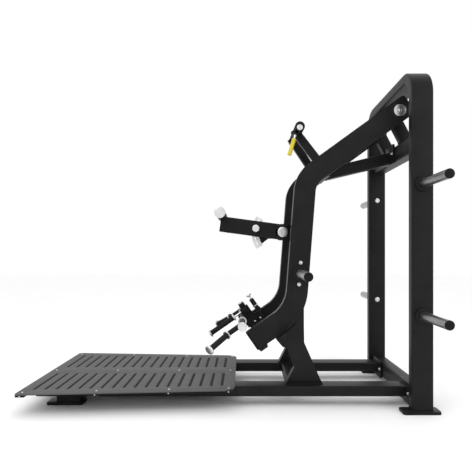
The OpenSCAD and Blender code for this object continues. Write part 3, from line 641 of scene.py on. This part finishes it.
def make_handle(welds):
    face = low_high("rail_flanges")[0].x
    beam_w, beam_h, slope = 80, 75, 13.4
    root = Vector((face, 0, BEAM_Z))
    down = heading(180 + slope)
    beam = Part()
    foot = root + down * 454
    beam.box_tube(root - down * 60, root + down * 450, Y, beam_w, beam_h, end=0)
    beam.done("handle_beam_tube", "frame", "black_steel",
              clip=[((face, 0, 0), X), ((foot.x + 29.5, 0, 0), -X)])
    plate = Part()
    outline = rounded_section(150, 122, 7, 5)
    plate.slab([(face, y, BEAM_FLANGE_Z + z) for y, z in outline], (12, 0, 0), 1.5)
    plate.done("handle_beam_flange", "frame", "black_steel", ["handle_beam"])
    welds.weld(rect_yz(face - 1, 0, BEAM_Z, beam_w + 2, beam_h + 1))

    bar_low, bar_high = low_high("top_handlebar")
    bar = (bar_low + bar_high) / 2
    half = bar_high.y
    top = Vector((bar.x - 20, 0, bar.z - 6))
    bar_w, bar_d = 40, 52
    foot_y, top_y = 150, 103
    fork = Part()
    reach = foot_y + bar_w / 2
    fork.box_tube(foot - Y * reach, foot + Y * reach, X, 60, 60)
    for s in SIDES:
        a = foot + Y * s * foot_y
        b = top + Y * s * top_y
        t = (b - a).normalized()
        side = Y - t * Y.dot(t)
        fork.box_tube(a + t * 20, b + t * 8, side, bar_w, bar_d, 7)
        side.normalize()
        welds.weld([a + t * 31 + side * p * (bar_w + 1) / 2 + side.cross(t) * q * (bar_d + 1) / 2
                    for p, q in CORNERS])
    fork.done("handle_fork_bars", "frame", "black_steel", ["handle_fork"])

    roller = Part()
    inner = half - 16
    steps = 56
    profile = [(0, 22), (0, 27.5), (1.5, 29.2), (4, 30), (12, 30), (13, 28.6), (16, 28.6)]
    grip = [(16 + 2 * inner * k / steps, 30 if k % 2 else 29.2) for k in range(1, steps)]
    mirrored = [(2 * half - z, r) for z, r in reversed(profile)]
    roller.lathe((bar.x, -half, bar.z), Y, profile + grip + mirrored, 48)
    roller.done("top_handlebar_grip", "frame", "black_rubber", ["top_handlebar"], sharp=50)

    at = Vector(JOINTS["release_pull"]["pos_m"]) * 1000
    caps = Part()
    low, high = low_high("handlebar_bolts")
    caps.disc((at.x, low.y, at.z), Y, 5, 17.5, 1.2)
    caps.disc((at.x, low.y + 4.5, at.z), Y, -low.y - 4.5 - half, 8, 0.5, 32)
    caps.disc((at.x, half, at.z), Y, 5, 17.5, 1.2)
    for s, y in ((-1, low.y + 0.4), (1, high.y - 0.4)):
        caps.lathe((at.x, y, at.z), Y * s, [(0, 6.5), (0.6, 6.2), (0.6, 3.2), (0.1, 2.8)], 6)
    caps.done("handlebar_end_bolts", "frame", "chrome_steel", ["handlebar_bolts"])
    make_release(at, half)


def make_release(at, half):
    y0, y1 = -half - 15, -half - 1
    mid = (y0 + y1) / 2
    grip_top = Vector((386, mid, 1581))
    grip_foot = Vector((356, mid, 1481))
    t = (grip_foot - grip_top).normalized()
    knuckle = grip_top - t * 37
    arm = Part()
    arm.disc((at.x, y0, at.z), Y, y1 - y0, 17, 1.2)
    arm.slab_xz([(at.x + 13, at.z - 9), (at.x - 13, at.z + 9), (knuckle.x - 11, knuckle.z + 8),
                 (knuckle.x + 11, knuckle.z - 8)], y0, y1, 1.0)
    arm.disc((knuckle.x, y0, knuckle.z), Y, y1 - y0, 15, 1.2)
    arm.done("release_lever_arm", "release", "black_steel", ["release_arm"])
    rod = Part()
    rod.disc(knuckle + t * 12, t, 40, 6, 0.4, 32)
    rod.disc(knuckle + t * 14, t, 4, 9, 0.8, 6)
    rod.done("release_lever_rod", "release", "chrome_steel")
    long = (grip_foot - grip_top).length
    grip = Part()
    profile = [(0, 6), (0, 10.5), (0.8, 12.2), (2.5, 13), (6, 13), (8, 11.6)]
    waves = 4
    for k in range(1, 41):
        z = 8 + (long - 22) * k / 41
        profile.append((z, 12.1 - 0.7 * math.cos(2 * math.pi * waves * k / 41)))
    profile += [(long - 12, 11.8), (long - 9, 13), (long - 3, 13), (long - 1, 12), (long, 9.5)]
    grip.lathe(grip_top + Y * 0.5, t, profile, 40)
    grip.done("release_lever_grip", "release", "yellow_grip", ["release_grip"], sharp=60)


def under_arm(gap, start, end, n):
    """Points under the arm's lower bend, between two turns in degrees."""
    radius = BEND_R[1] + ARM_HALF + gap
    return [ARM_BEND_LOW + heading(LOW - 270 + start + (end - start) * k / n) * radius
            for k in range(n + 1)]


def make_stands(welds):
    low, high = low_high("left_stand")
    y = (low.y + high.y) / 2
    half = (high.y - low.y) / 2
    back, down = heading(LOW - 180), heading(LOW - 270)
    rear = 435.0
    foot_x0, foot_x1 = 326, 545
    pad_t, pad_turn = 8.0, 14.0
    rear_turn = 270 - LOW - math.degrees(
        math.acos((rear - ARM_BEND_LOW.x) / (BEND_R[1] + ARM_HALF + 1)))
    rail_top = RAIL_HIGH.z
    outline = [ARM_END + back * 120 + down * (ARM_HALF + pad_t),
               *under_arm(pad_t, 0, pad_turn + 0.5, 6),
               *under_arm(1, pad_turn + 0.5, rear_turn, 12),
               Vector((rear, 0, 362)), Vector((foot_x1, 0, rail_top)),
               Vector((foot_x0, 0, rail_top)),
               Vector((378, 0, 214)), Vector((336, 0, 327)), Vector((309, 0, 337))]
    for s, node in ((-1, "right_stand"), (1, "left_stand")):
        stand = Part()
        stand.slab_xz([(p.x, p.z) for p in outline], s * y - half, s * y + half, 1.6, 3)
        stand.done(node + "_box", "frame", "black_steel", [node])
        welds.weld(rect_xy((foot_x0 + foot_x1) / 2, s * y, rail_top + 1,
                           foot_x1 - foot_x0, 2 * half + 1))
    pads = Part()
    start = ARM_END + back * 126
    pad = [start + down * (ARM_HALF + 0.4), *under_arm(0.4, 0, pad_turn, 6),
           *under_arm(pad_t - 0.2, pad_turn, 0, 6), start + down * (ARM_HALF + pad_t - 0.2)]
    for s in SIDES:
        pads.slab_xz([(p.x, p.z) for p in pad], s * y - 20, s * y + 20, 1.2)
    # The pads are real, but they take the darker black plastic instead of rubber: painted shade for the shadow in
    # the gap between arm and stand.
    pads.done("stand_pads_painted_shade", "frame", "black_rubber", ["stand_pads"],
              material=MATERIALS["black_plastic"])
    tube_skin("stand_cross_tube", Y, X)


# ---- platform

def make_deck():
    low, high = low_high("deck")
    length = high.x - low.x
    front_w, rear_w = high.y - low.y, 856.0
    slot_count, slot_r = 18, 8.5
    first_slot, last_slot = 70, 75     # from the front and rear edges
    slot_inner, slot_edge = 75, 85     # from the middle and from a side edge
    outrigger_t, edge_in, screw_in = 12, 6, 40

    def half(d):
        return (front_w + (rear_w - front_w) * d / length) / 2

    corners = [(0, -front_w / 2), (length, -rear_w / 2), (length, rear_w / 2), (0, front_w / 2)]
    outer = [tuple(p) for p in rounded_outline(corners, [22, 78, 78, 22], 12)]
    pitch = (length - first_slot - last_slot) / (slot_count - 1)
    slots = []
    for i in range(slot_count):
        for s in SIDES:
            x = first_slot + i * pitch
            y0, y1 = sorted((s * slot_inner, s * (half(x) - slot_edge)))
            slots.append(arc(slot_r, 0, 180, 8, x, y1 - slot_r)
                         + arc(slot_r, 180, 180, 8, x, y0 + slot_r))
    floor_t = 2.0
    edge = [(x * 0.9992 + 0.5, y * 0.9992) for x, y in outer]
    deck = Part()
    deck.slab([(low.x + x, y, low.z) for x, y in edge], (0, 0, floor_t), 0)
    deck.holed(edge, slots, high.z - low.z - floor_t,
               Matrix.Translation((low.x, 0, low.z + floor_t)), 0.4)
    deck.done("slotted_deck", "frame", "grey_deck", ["deck"])
    # Black sheets at the bottom of the blind slots: painted shade, standing in for the shadow under the deck seen
    # through the slots.
    slot_shade_sheets = Part()
    for slot in slots:
        slot_shade_sheets.slab([(low.x + x, y, low.z + floor_t) for x, y in slot], (0, 0, 1.0), 0)
    slot_shade_sheets.done("deck_slot_painted_shade", "frame", "black_rubber")

    bearers, screws = Part(), Part()
    inner, outer_y = RAIL_Y - RAIL_W / 2, RAIL_Y + RAIL_W / 2
    for d in (30, 430, 830, 1164):
        x = low.x + d
        bearers.box_tube((x, -inner, low.z - 20), (x, inner, low.z - 20), X, 50, 40, 6, end=0.2)
        for s in SIDES:
            edge = half(d) - edge_in
            y0, y1 = sorted((s * outer_y, s * edge))
            z = low.z - outrigger_t
            bearers.slab([(x - 25, y0, z), (x + 25, y0, z), (x + 25, y1, z), (x - 25, y1, z)],
                         (0, 0, outrigger_t), 1.2)
            screws.button_screw((x, s * edge, low.z - outrigger_t / 2), Y * s, 4, 3)
        for k in (-1, 0, 1):
            screws.lathe((x, k * (half(d) - screw_in), high.z), Z,
                         [(0, 6), (0.6, 5.9), (1.6, 4.9), (2, 4.0), (2, 2.6), (1.1, 2.3)], 32)
    bearers.done("deck_bearer_tubes", "frame", "black_steel", ["deck_bearers"])
    screws.done("deck_button_screws", "frame", "chrome_steel", ["deck_screws"])


# ---- weight horns

STORAGE_REACH, LOAD_REACH = 333, 361
LOAD_SCREW = 64        # load horn screws from the horn, along the arm


def horn(sleeve, collar, cap, bolt, origin, out, reach, wall_t):
    """One horn: sleeve, collar, end cap and the bolt head on the far side of its wall."""
    cap_r = 24.6
    sleeve.lathe(origin + out * 12, out, [(0, 23), (0, 24), (0.8, 24.9), (reach - 21, 24.9),
                                          (reach - 20.4, 24.2), (reach - 20, 22)], 64)
    collar.lathe(origin, out, [(0, 22), (0, 44), (1.0, 45), (8.5, 45), (11, 43.6), (12, 41),
                               (12, 22)], 64, closed=True)
    cap.lathe(origin + out * (reach - 8), out,
              [(0, 21), (0, cap_r - 0.3), (0.5, cap_r), (5.6, cap_r), (7.2, cap_r - 1.2),
               (7.8, cap_r - 3.2), (8, 0)], 56)
    bolt.hex_head(origin - out * wall_t, -out, 14, 11)


def make_horns():
    collars, caps, bolts = Part(), Part(), Part()
    for s, side in ((-1, "right"), (1, "left")):
        for level in ("upper", "lower"):
            node = f"storage_horn_{level}_{side}"
            c = middle(node)
            sleeve = Part()
            origin = Vector((c.x, s * ARCH_HIGH.y, c.z))
            horn(sleeve, collars, caps, bolts, origin, Y * s, STORAGE_REACH, ARCH_T)
            sleeve.done(node + "_sleeve", "frame", "sleeve_steel", [node])
    collars.done("storage_horn_collars", "frame", "black_steel", ["storage_collars"])
    caps.done("storage_horn_caps", "frame", "black_plastic", ["storage_caps"])
    bolts.done("storage_horn_bolts", "frame", "chrome_steel", ["storage_bolts"])

    fittings, caps, bolts = Part(), Part(), Part()
    for s, side in ((-1, "right"), (1, "left")):
        node = f"load_horn_{side}"
        c = middle(node)
        sleeve = Part()
        origin = Vector((c.x, s * ARM_OUT, c.z))
        horn(sleeve, fittings, caps, bolts, origin, Y * s, LOAD_REACH, ARM_OUT - ARM_IN)
        sleeve.done(node + "_sleeve", "arms", "sleeve_steel", [node])
        for k in SIDES:
            at = origin + heading(MID) * k * LOAD_SCREW
            bolts.disc(at, Y * s, 2, 11, 0.5, 40)
            bolts.button_screw(at + Y * s * 2, Y * s, 8.5, 5.5)
    fittings.done("load_horn_collars", "arms", "black_steel", ["load_fittings"])
    caps.done("load_horn_caps", "arms", "black_plastic")
    bolts.done("load_horn_bolts", "arms", "chrome_steel", ["load_bolts"])


# ---- swing arms

def arm_outline():
    """Outline of a swing arm in the X-Z plane."""
    tip_r = 18.0
    headings = (TOP, MID, LOW)
    tail = PIVOT - heading(TOP) * ARM_TAIL
    corners, radii = [], []
    for side in (1, -1):
        points, turns = [tail + heading(TOP + 90) * side * ARM_HALF], [tip_r]
        for p, a, b, r in zip((BEND_1, BEND_2), headings, headings[1:], BEND_R):
            out = side * ARM_HALF / math.cos(math.radians((b - a) / 2))
            points.append(p + heading((a + b) / 2 + 90) * out)
            turns.append(r - side * math.copysign(ARM_HALF, b - a))
        points.append(ARM_END + heading(LOW + 90) * side * ARM_HALF)
        turns.append(0)
        corners += [(p.x, p.z) for p in points[::side]]
        radii += turns[::side]
    return [tuple(p) for p in rounded_outline(corners, radii, 18)]


def make_arms():
    welds = Part()
    outline = arm_outline()
    mid = (ARM_OUT + ARM_IN) / 2
    half = (ARM_OUT - ARM_IN) / 2
    for s, node in ((-1, "right_arm"), (1, "left_arm")):
        arm = Part()
        arm.slab_xz(outline, s * mid - half, s * mid + half, TUBE_R, 5)
        arm.done(node + "_tube", "arms", "black_steel", [node])

    hubs, caps = Part(), Part()
    high = low_high("arm_hubs")[1]
    hub_in = 229
    for s in SIDES:
        y0, y1 = sorted((s * hub_in, s * high.y))
        hubs.disc((PIVOT.x, y0, PIVOT.z), Y, y1 - y0, 54, 0.8, 72)
        origin = Vector((PIVOT.x, s * high.y, PIVOT.z))
        caps.lathe(origin, Y * s, [(0, 34), (0, 36), (5.6, 36), (7.4, 35), (8, 33), (8, 0)], 72)
        caps.lathe(origin + Y * s * 7.8, Y * s, [(0, 9), (1.6, 9), (2.2, 8.2), (2.2, 0)], 40)
    hubs.done("arm_hub_sleeves", "arms", "black_steel", ["arm_hubs"])
    caps.done("pivot_end_caps", "arms", "chrome_steel", ["pivot_caps"])

    pads, plates = Part(), Part()
    back, down = heading(LOW - 180), heading(LOW - 270)
    for s in SIDES:
        end = ARM_END + Y * s * mid
        outline = rounded_section(2 * half, 2 * ARM_HALF, TUBE_R, 6)
        plates.slab([end + Y * a + down * b for a, b in outline], -back * 6, 1.0)
        foot = [end + down * ARM_HALF, end + back * 62 + down * ARM_HALF,
                end + back * 56 + down * (ARM_HALF + 18), end + back * 6 + down * (ARM_HALF + 18)]
        pads.slab_xz([(p.x, p.z) for p in foot], s * mid - 25, s * mid + 25, 2.5, 3)
        welds.weld([end - back * 0.2 + Y * a + down * b for a, b in
                    rounded_section(2 * half - 1, 2 * ARM_HALF - 1, TUBE_R, 3)], 1.6)
    plates.done("arm_end_plates", "arms", "black_steel")
    pads.done("arm_end_bumpers", "arms", "black_rubber", ["arm_end_pads"])

    cross = Part()
    at = MID_CROSS
    cross.box_tube((at.x, -ARM_IN, at.z), (at.x, ARM_IN, at.z), X, MID_CROSS_D, 110, end=0.3)
    for s in SIDES:
        welds.weld(rect_xz(at.x, s * (ARM_IN - 1), at.z, MID_CROSS_D, 110))
    at = LOW_CROSS
    cross.box_tube((at.x, -ARM_IN, at.z), (at.x, ARM_IN, at.z), back, 80, 80, end=0.3)
    for s in SIDES:
        welds.weld([at + Y * s * (ARM_IN - 1) + back * a * 40 + down * b * 40
                    for a, b in CORNERS])
    cross.done("arm_cross_tube_pair", "arms", "black_steel", ["arm_cross_tubes"])
    make_lever_mount(welds)
    make_head_mount(welds)
    welds.done("arm_welds", "arms", "black_steel", material=WELD, sharp=60)


LEVER_A = 172.3        # heading of the lever at rest
INDEX_R = 175.0        # circle of the lever's index holes
INDEX_STEP = 10.5
CHEEK_IN, CHEEK_OUT = 31, 43
WEB_OUT = 51


def make_lever_mount(welds):
    face = MID_CROSS.x - MID_CROSS_D / 2
    low, high = LEVER.z - 52, LEVER.z + 52
    front = LEVER.x - 36
    cheeks = Part()
    corners = [(face, low), (face, high), (front, high), (front, low)]
    side = [tuple(p) for p in rounded_outline(corners, [0, 0, 24, 24], 8)]
    for s in SIDES:
        y0, y1 = sorted((s * CHEEK_IN, s * CHEEK_OUT))
        cheeks.slab_xz(side, y0, y1, 1.5)
        y = s * (CHEEK_OUT + 1)
        welds.weld([(face + 1, y, low + 6), (face + 1, y, high - 6)], closed=False)
    rim = [LEVER + heading(a) * (160 if a in (150, 210) else 172)
           for a in range(150, 211, 6)]
    fan = [(face, low + 12), (face, high - 12), (LEVER.x - 90, LEVER.z + 40),
           *[(p.x, p.z) for p in rim], (LEVER.x - 90, LEVER.z - 40)]
    cheeks.slab_xz(fan, CHEEK_OUT, WEB_OUT, 1.2)
    cheeks.done("lever_cheek_plates", "arms", "black_steel", ["lever_bracket"])

    outline = arc(INDEX_R + 24, 147, 66, 40) + arc(INDEX_R - 24, 213, -66, 40)
    holes = hole_ring(INDEX_R, 8, [LEVER_A + k * INDEX_STEP for k in range(-2, 4)], 24)
    place = Matrix.Translation((LEVER.x, CHEEK_OUT, LEVER.z)) \
        @ Matrix.Rotation(math.radians(90), 4, "X")
    plate = Part()
    plate.holed(outline, holes, 8, place, 0.5)
    plate.done("lever_index_arc", "arms", "chrome_steel", ["lever_index_plate"])

    bolt = Part()
    for s, y in ((-1, -CHEEK_OUT), (1, WEB_OUT)):
        bolt.lathe((LEVER.x, y, LEVER.z), Y * s,
                   [(0, 31), (0, 33), (1, 33), (4.4, 32.4), (5.6, 30), (6, 26), (6, 12),
                    (5.2, 11), (5.2, 0)], 56)
    bolt.disc((LEVER.x, -CHEEK_OUT, LEVER.z), Y, CHEEK_OUT + WEB_OUT, 10, 0.5)
    bolt.done("lever_pivot_caps", "arms", "chrome_steel", ["lever_pivot_bolt"])


def make_lever():
    tilt = heading(LEVER_A)
    across, down = Y, tilt.cross(Y)
    tube = Part()
    tube.box_tube(LEVER + tilt * 24, LEVER + tilt * 404, Y, 60, 100, end=0.3)
    tube.disc((LEVER.x, -30, LEVER.z), Y, 60, 46, 1.5, 64)
    tube.done("chest_lever_tube", "lever", "black_steel", ["chest_lever"])
    end = Part()
    face = LEVER + tilt * 403.5
    end.slab([face + across * a + down * b for a, b in rounded_section(58, 98, 8, 6)],
             tilt * 3.4, 1.0)
    end.done("chest_lever_end_plate", "lever", "black_plastic")

    low, high = low_high("chest_bar")
    c = (low + high) / 2
    roller = Part()
    long = high.y - low.y
    profile = [(0, 20), (0, 29), (1.2, 30.4), (3, 31), (10, 31)]
    grooves = 44
    for k in range(1, grooves):
        z = 10 + (long - 20) * k / grooves
        profile.append((z, 31 if k % 2 else 30.3))
    profile += [(long - 10, 31), (long - 3, 31), (long - 1.2, 30.4), (long, 29), (long, 20)]
    roller.lathe((c.x, low.y, c.z), Y, profile, 56)
    roller.done("chest_roller", "lever", "black_rubber", ["chest_bar"], sharp=60)
    caps = Part()
    for s in SIDES:
        caps.lathe((c.x, s * high.y, c.z), Y * s,
                   [(0, 20), (0, 33.6), (0.8, 35), (3.4, 35), (4, 34.2), (4.4, 29.6), (5, 29),
                    (9, 29), (9.6, 29.6), (10, 33.4), (11, 34.5), (17.6, 34.5), (19.2, 33.6),
                    (20, 31), (20, 0)], 64)
    caps.done("chest_roller_caps", "lever", "chrome_steel", ["chest_bar_caps"])
    welds = Part()
    welds.weld([LEVER + tilt * 352 + across * s * 22 + down * 50.5 for s in SIDES], 2.6,
               closed=False)
    welds.done("chest_lever_weld", "lever", "black_steel", material=WELD, sharp=60)

    low, high = low_high("lever_pin")
    c = (low + high) / 2
    pin = Part()
    pin.disc((c.x, low.y + 14, c.z), Y, high.y - low.y - 14, 6, 0.8, 32)
    pin.lathe((c.x, low.y, c.z), Y, [(0, 19), (0.8, 21.6), (2.4, 23), (11.5, 23), (13.6, 21),
                                     (14.4, 12), (15, 7)], 56)
    pin.done("lever_pull_knob", "lever_lock", "chrome_steel", ["lever_pin"])


# ---- handle head

# u runs along the arms' lower legs, y along Y and n square to both, from the crossbar
SWIVEL_U, LOCK_U = 35, 107
PLATE_N = -32          # underside of the index plate
BAR_HALF = 450
BRANCH_U, BRANCH_Y = 96, 350
FLARE = math.radians(42)
SWIVEL = Vector(JOINTS["head_swivel"]["pos_m"]) * 1000
HU, HN = heading(LOW - 180), Vector(JOINTS["head_swivel"]["axis"])
if HN.z < 0:
    HN = -HN
HEAD = SWIVEL - HU * SWIVEL_U


def head_point(u, y, n):
    return HEAD + HU * u + Y * y + HN * n


def flared(side):
    """Heading of the flared grip on one side."""
    return -HU * math.cos(FLARE) + Y * side * math.sin(FLARE)


def make_head_mount(welds):
    bottom = (LOW_CROSS - HEAD).dot(HN) + 40
    block = Part()
    corners = (-8, -42), (110, -42), (110, 42), (-8, 42)
    block.slab([head_point(u, y, bottom) for u, y in corners], HN * (PLATE_N - bottom), 3.0, 3)
    block.done("head_bracket_block", "arms", "black_steel", ["head_bracket"])
    screws = Part()
    for s in SIDES:
        screws.button_screw(head_point(50, s * 42, -72), Y * s, 7, 4)
        screws.button_screw(head_point(90, s * 42, -72), Y * s, 7, 4)
    screws.done("head_bracket_screws", "arms", "chrome_steel")
    welds.weld([head_point(u, y, bottom + 1)
                for u, y in ((22, -43), (101, -43), (101, 43), (22, 43))])

    spread = math.degrees(math.atan2(88, 100))
    sweep = arc(92, -spread, 2 * spread, 32)
    outer = [tuple(p) for p in rounded_outline([(-30, -22)] + sweep + [(-30, 22)],
                                               [8] + [0] * len(sweep) + [8], 5)]
    holes = hole_ring(LOCK_U - SWIVEL_U, 7, range(-30, 31, 15), 32)
    place = Matrix.Translation(head_point(SWIVEL_U, 0, PLATE_N)) \
        @ Matrix((HU, Y, HN)).transposed().to_4x4()
    plate = Part()
    plate.holed(outer, holes, 8, place, 0.5)
    plate.done("head_index_fan", "arms", "black_steel", ["head_index_plate"])

    post = Part()
    post.disc(head_point(SWIVEL_U, 0, -36), HN, 110, 15, 0.5)
    post.lathe(head_point(SWIVEL_U, 0, 73), HN,
               [(0, 18.6), (0.8, 20), (5.2, 20), (6.4, 18.8), (7, 16), (7, 9), (6.2, 8),
                (6.2, 0)], 48)
    post.done("head_swivel_post", "arms", "chrome_steel", ["head_post"])


def make_head():
    black = Part()
    base = rounded_outline([(-26, -38), (68, -38), (68, 38), (-26, 38)], [6, 14, 14, 6], 5)
    black.slab([head_point(p[0], p[1], -23) for p in base], HN * 12, 1.5)
    black.slab([head_point(u, y, -11.5) for u, y in ((-26, -38), (26, -38), (26, 38), (-26, 38))],
               HN * 25.5, 3.0, 3)
    black.disc(head_point(SWIVEL_U, 0, -11.5), HN, 56.5, 31, 2.0, 64)
    black.disc(head_point(SWIVEL_U, 0, 44.5), HN, 28, 19.5, 1.5)
    tail = [(60, -19)] + arc(19, -90, 180, 12, LOCK_U) + [(60, 19)]
    black.slab([head_point(u, y, -23) for u, y in tail], HN * 12, 1.5)
    black.lathe(head_point(LOCK_U, 0, -12), HN,
                [(0, 15), (18, 15), (19, 13.4), (23, 13.4), (24, 15), (61, 15), (68, 14.2),
                 (71, 11.6), (71, 6.4)], 40)
    core_half = BAR_HALF - 8
    black.disc(head_point(0, -core_half, 0), Y, 2 * core_half, 16, 0.8, 48)
    for s in SIDES:
        out = flared(s)
        a, corner = head_point(0, s * BRANCH_Y, 0), head_point(-BRANCH_U, s * BRANCH_Y, 0)
        way = route([a, corner, corner + out * 60], 34, 10)
        black.sweep(way, HN, circle(15, 36))
        black.disc(corner + out * 20, out, 146, 10, 0.5, 32)
    black.done("head_frame", "head", "black_steel", ["head_body"])

    trim = Part()
    grips = Part()
    for s in SIDES:
        trim.ring(head_point(0, s * 240, 0), Y * s, 10, 26, 16, 1.6, 56)
        trim.lathe(head_point(0, s * core_half, 0), Y * s,
                   [(0, 14), (0, 25), (0.8, 26), (5, 26), (7.2, 24.6), (8, 21.5), (8, 0)], 56)
        ribbed_grip(grips, head_point(0, s * 368, 0), Y * s, 74, 20, 16)
        out = flared(s)
        corner = head_point(-BRANCH_U, s * BRANCH_Y, 0)
        trim.ring(corner + out * 14, out, 8, 25.5, 10, 1.4, 56)
        ribbed_grip(grips, corner + out * 22, out, 142, 17, 10)
        trim.lathe(corner + out * 164, out,
                   [(0, 9), (0, 25.6), (1, 27), (8, 27), (10.8, 25.4), (12, 21.5), (12, 0)], 56)
    trim.ring(head_point(LOCK_U, 0, 4), HN, 7, 18.5, 14.5, 1.2, 48)
    middle_n = 22
    trim.ring(head_point(-48, 0, middle_n), -HU, 8, 25, 7, 1.4, 56)
    ribbed_grip(grips, head_point(-56, 0, middle_n), -HU, 174, 17, 7)
    trim.lathe(head_point(-230, 0, middle_n), -HU,
               [(0, 6), (0, 23.2), (1, 24.5), (8, 24.5), (10.8, 23), (12, 19.4), (12, 0)], 56)
    trim.done("head_chrome_trim", "head", "chrome_steel", ["head_trim"])
    grips.done("head_rubber_grips", "head", "black_rubber", ["head_grips"], sharp=60)
    rod = Part()
    rod.disc(head_point(8, 0, middle_n), -HU, 240, 7, 0.5, 32)
    rod.done("head_middle_rod", "head", "chrome_steel", ["head_rod"])

    pin = Part()
    pin.disc(head_point(LOCK_U, 0, -23.5), HN, 108, 6, 0.8, 32)
    pin.lathe(head_point(LOCK_U, 0, 78), HN, [(0, 6), (1, 10), (5, 18), (6.5, 19.4), (10, 19.4),
                                              (12, 18), (13, 14), (13, 0)], 48)
    pin.done("head_pull_handle", "head_lock", "chrome_steel", ["head_pin"])


def ribbed_grip(part, origin, axis, length, r, core):
    """Rubber grip with a flange at each end and fine ribs between them."""
    profile = [(0, core + 0.2), (0, r - 1.2), (0.6, r), (5, r), (6, r - 1.0)]
    pitch = 4.0
    count = int((length - 14) / pitch)
    step = (length - 12) / (count * 4)
    for k in range(count * 4 + 1):
        profile.append((6 + k * step, r - (1.0, 0.25, 0.1, 0.7)[k % 4]))
    profile += [(length - 5, r), (length - 0.6, r), (length, r - 1.2), (length, core + 0.2)]
    part.lathe(origin, axis, profile, 44)


# ---- everything together

def make_floor():
    mesh = bpy.data.meshes.new("floor")
    bm = bmesh.new()
    bmesh.ops.create_grid(bm, x_segments=8, y_segments=8, size=14)
    bm.to_mesh(mesh)
    bm.free()
    mesh.materials.append(pale_floor())
    floor = bpy.data.objects.new("floor", mesh)
    floor.location = (0, 0, -0.0005)
    bpy.context.collection.objects.link(floor)


def finish_cad_nodes():
    """CAD nodes that stay as they are get their slot's full material."""
    slots = {s["node"]: s["material_slot"] for s in frame["record"]["subparts"]}
    for name, node in NODES.items():
        material = MATERIALS[slots[name]]
        if not node.material_slots:
            node.data.materials.append(material)
        for entry in node.material_slots:
            entry.material = material


make_camera()
make_light()
make_floor()
finish_cad_nodes()
make_frame()
make_deck()
make_horns()
make_arms()
make_lever()
make_head()
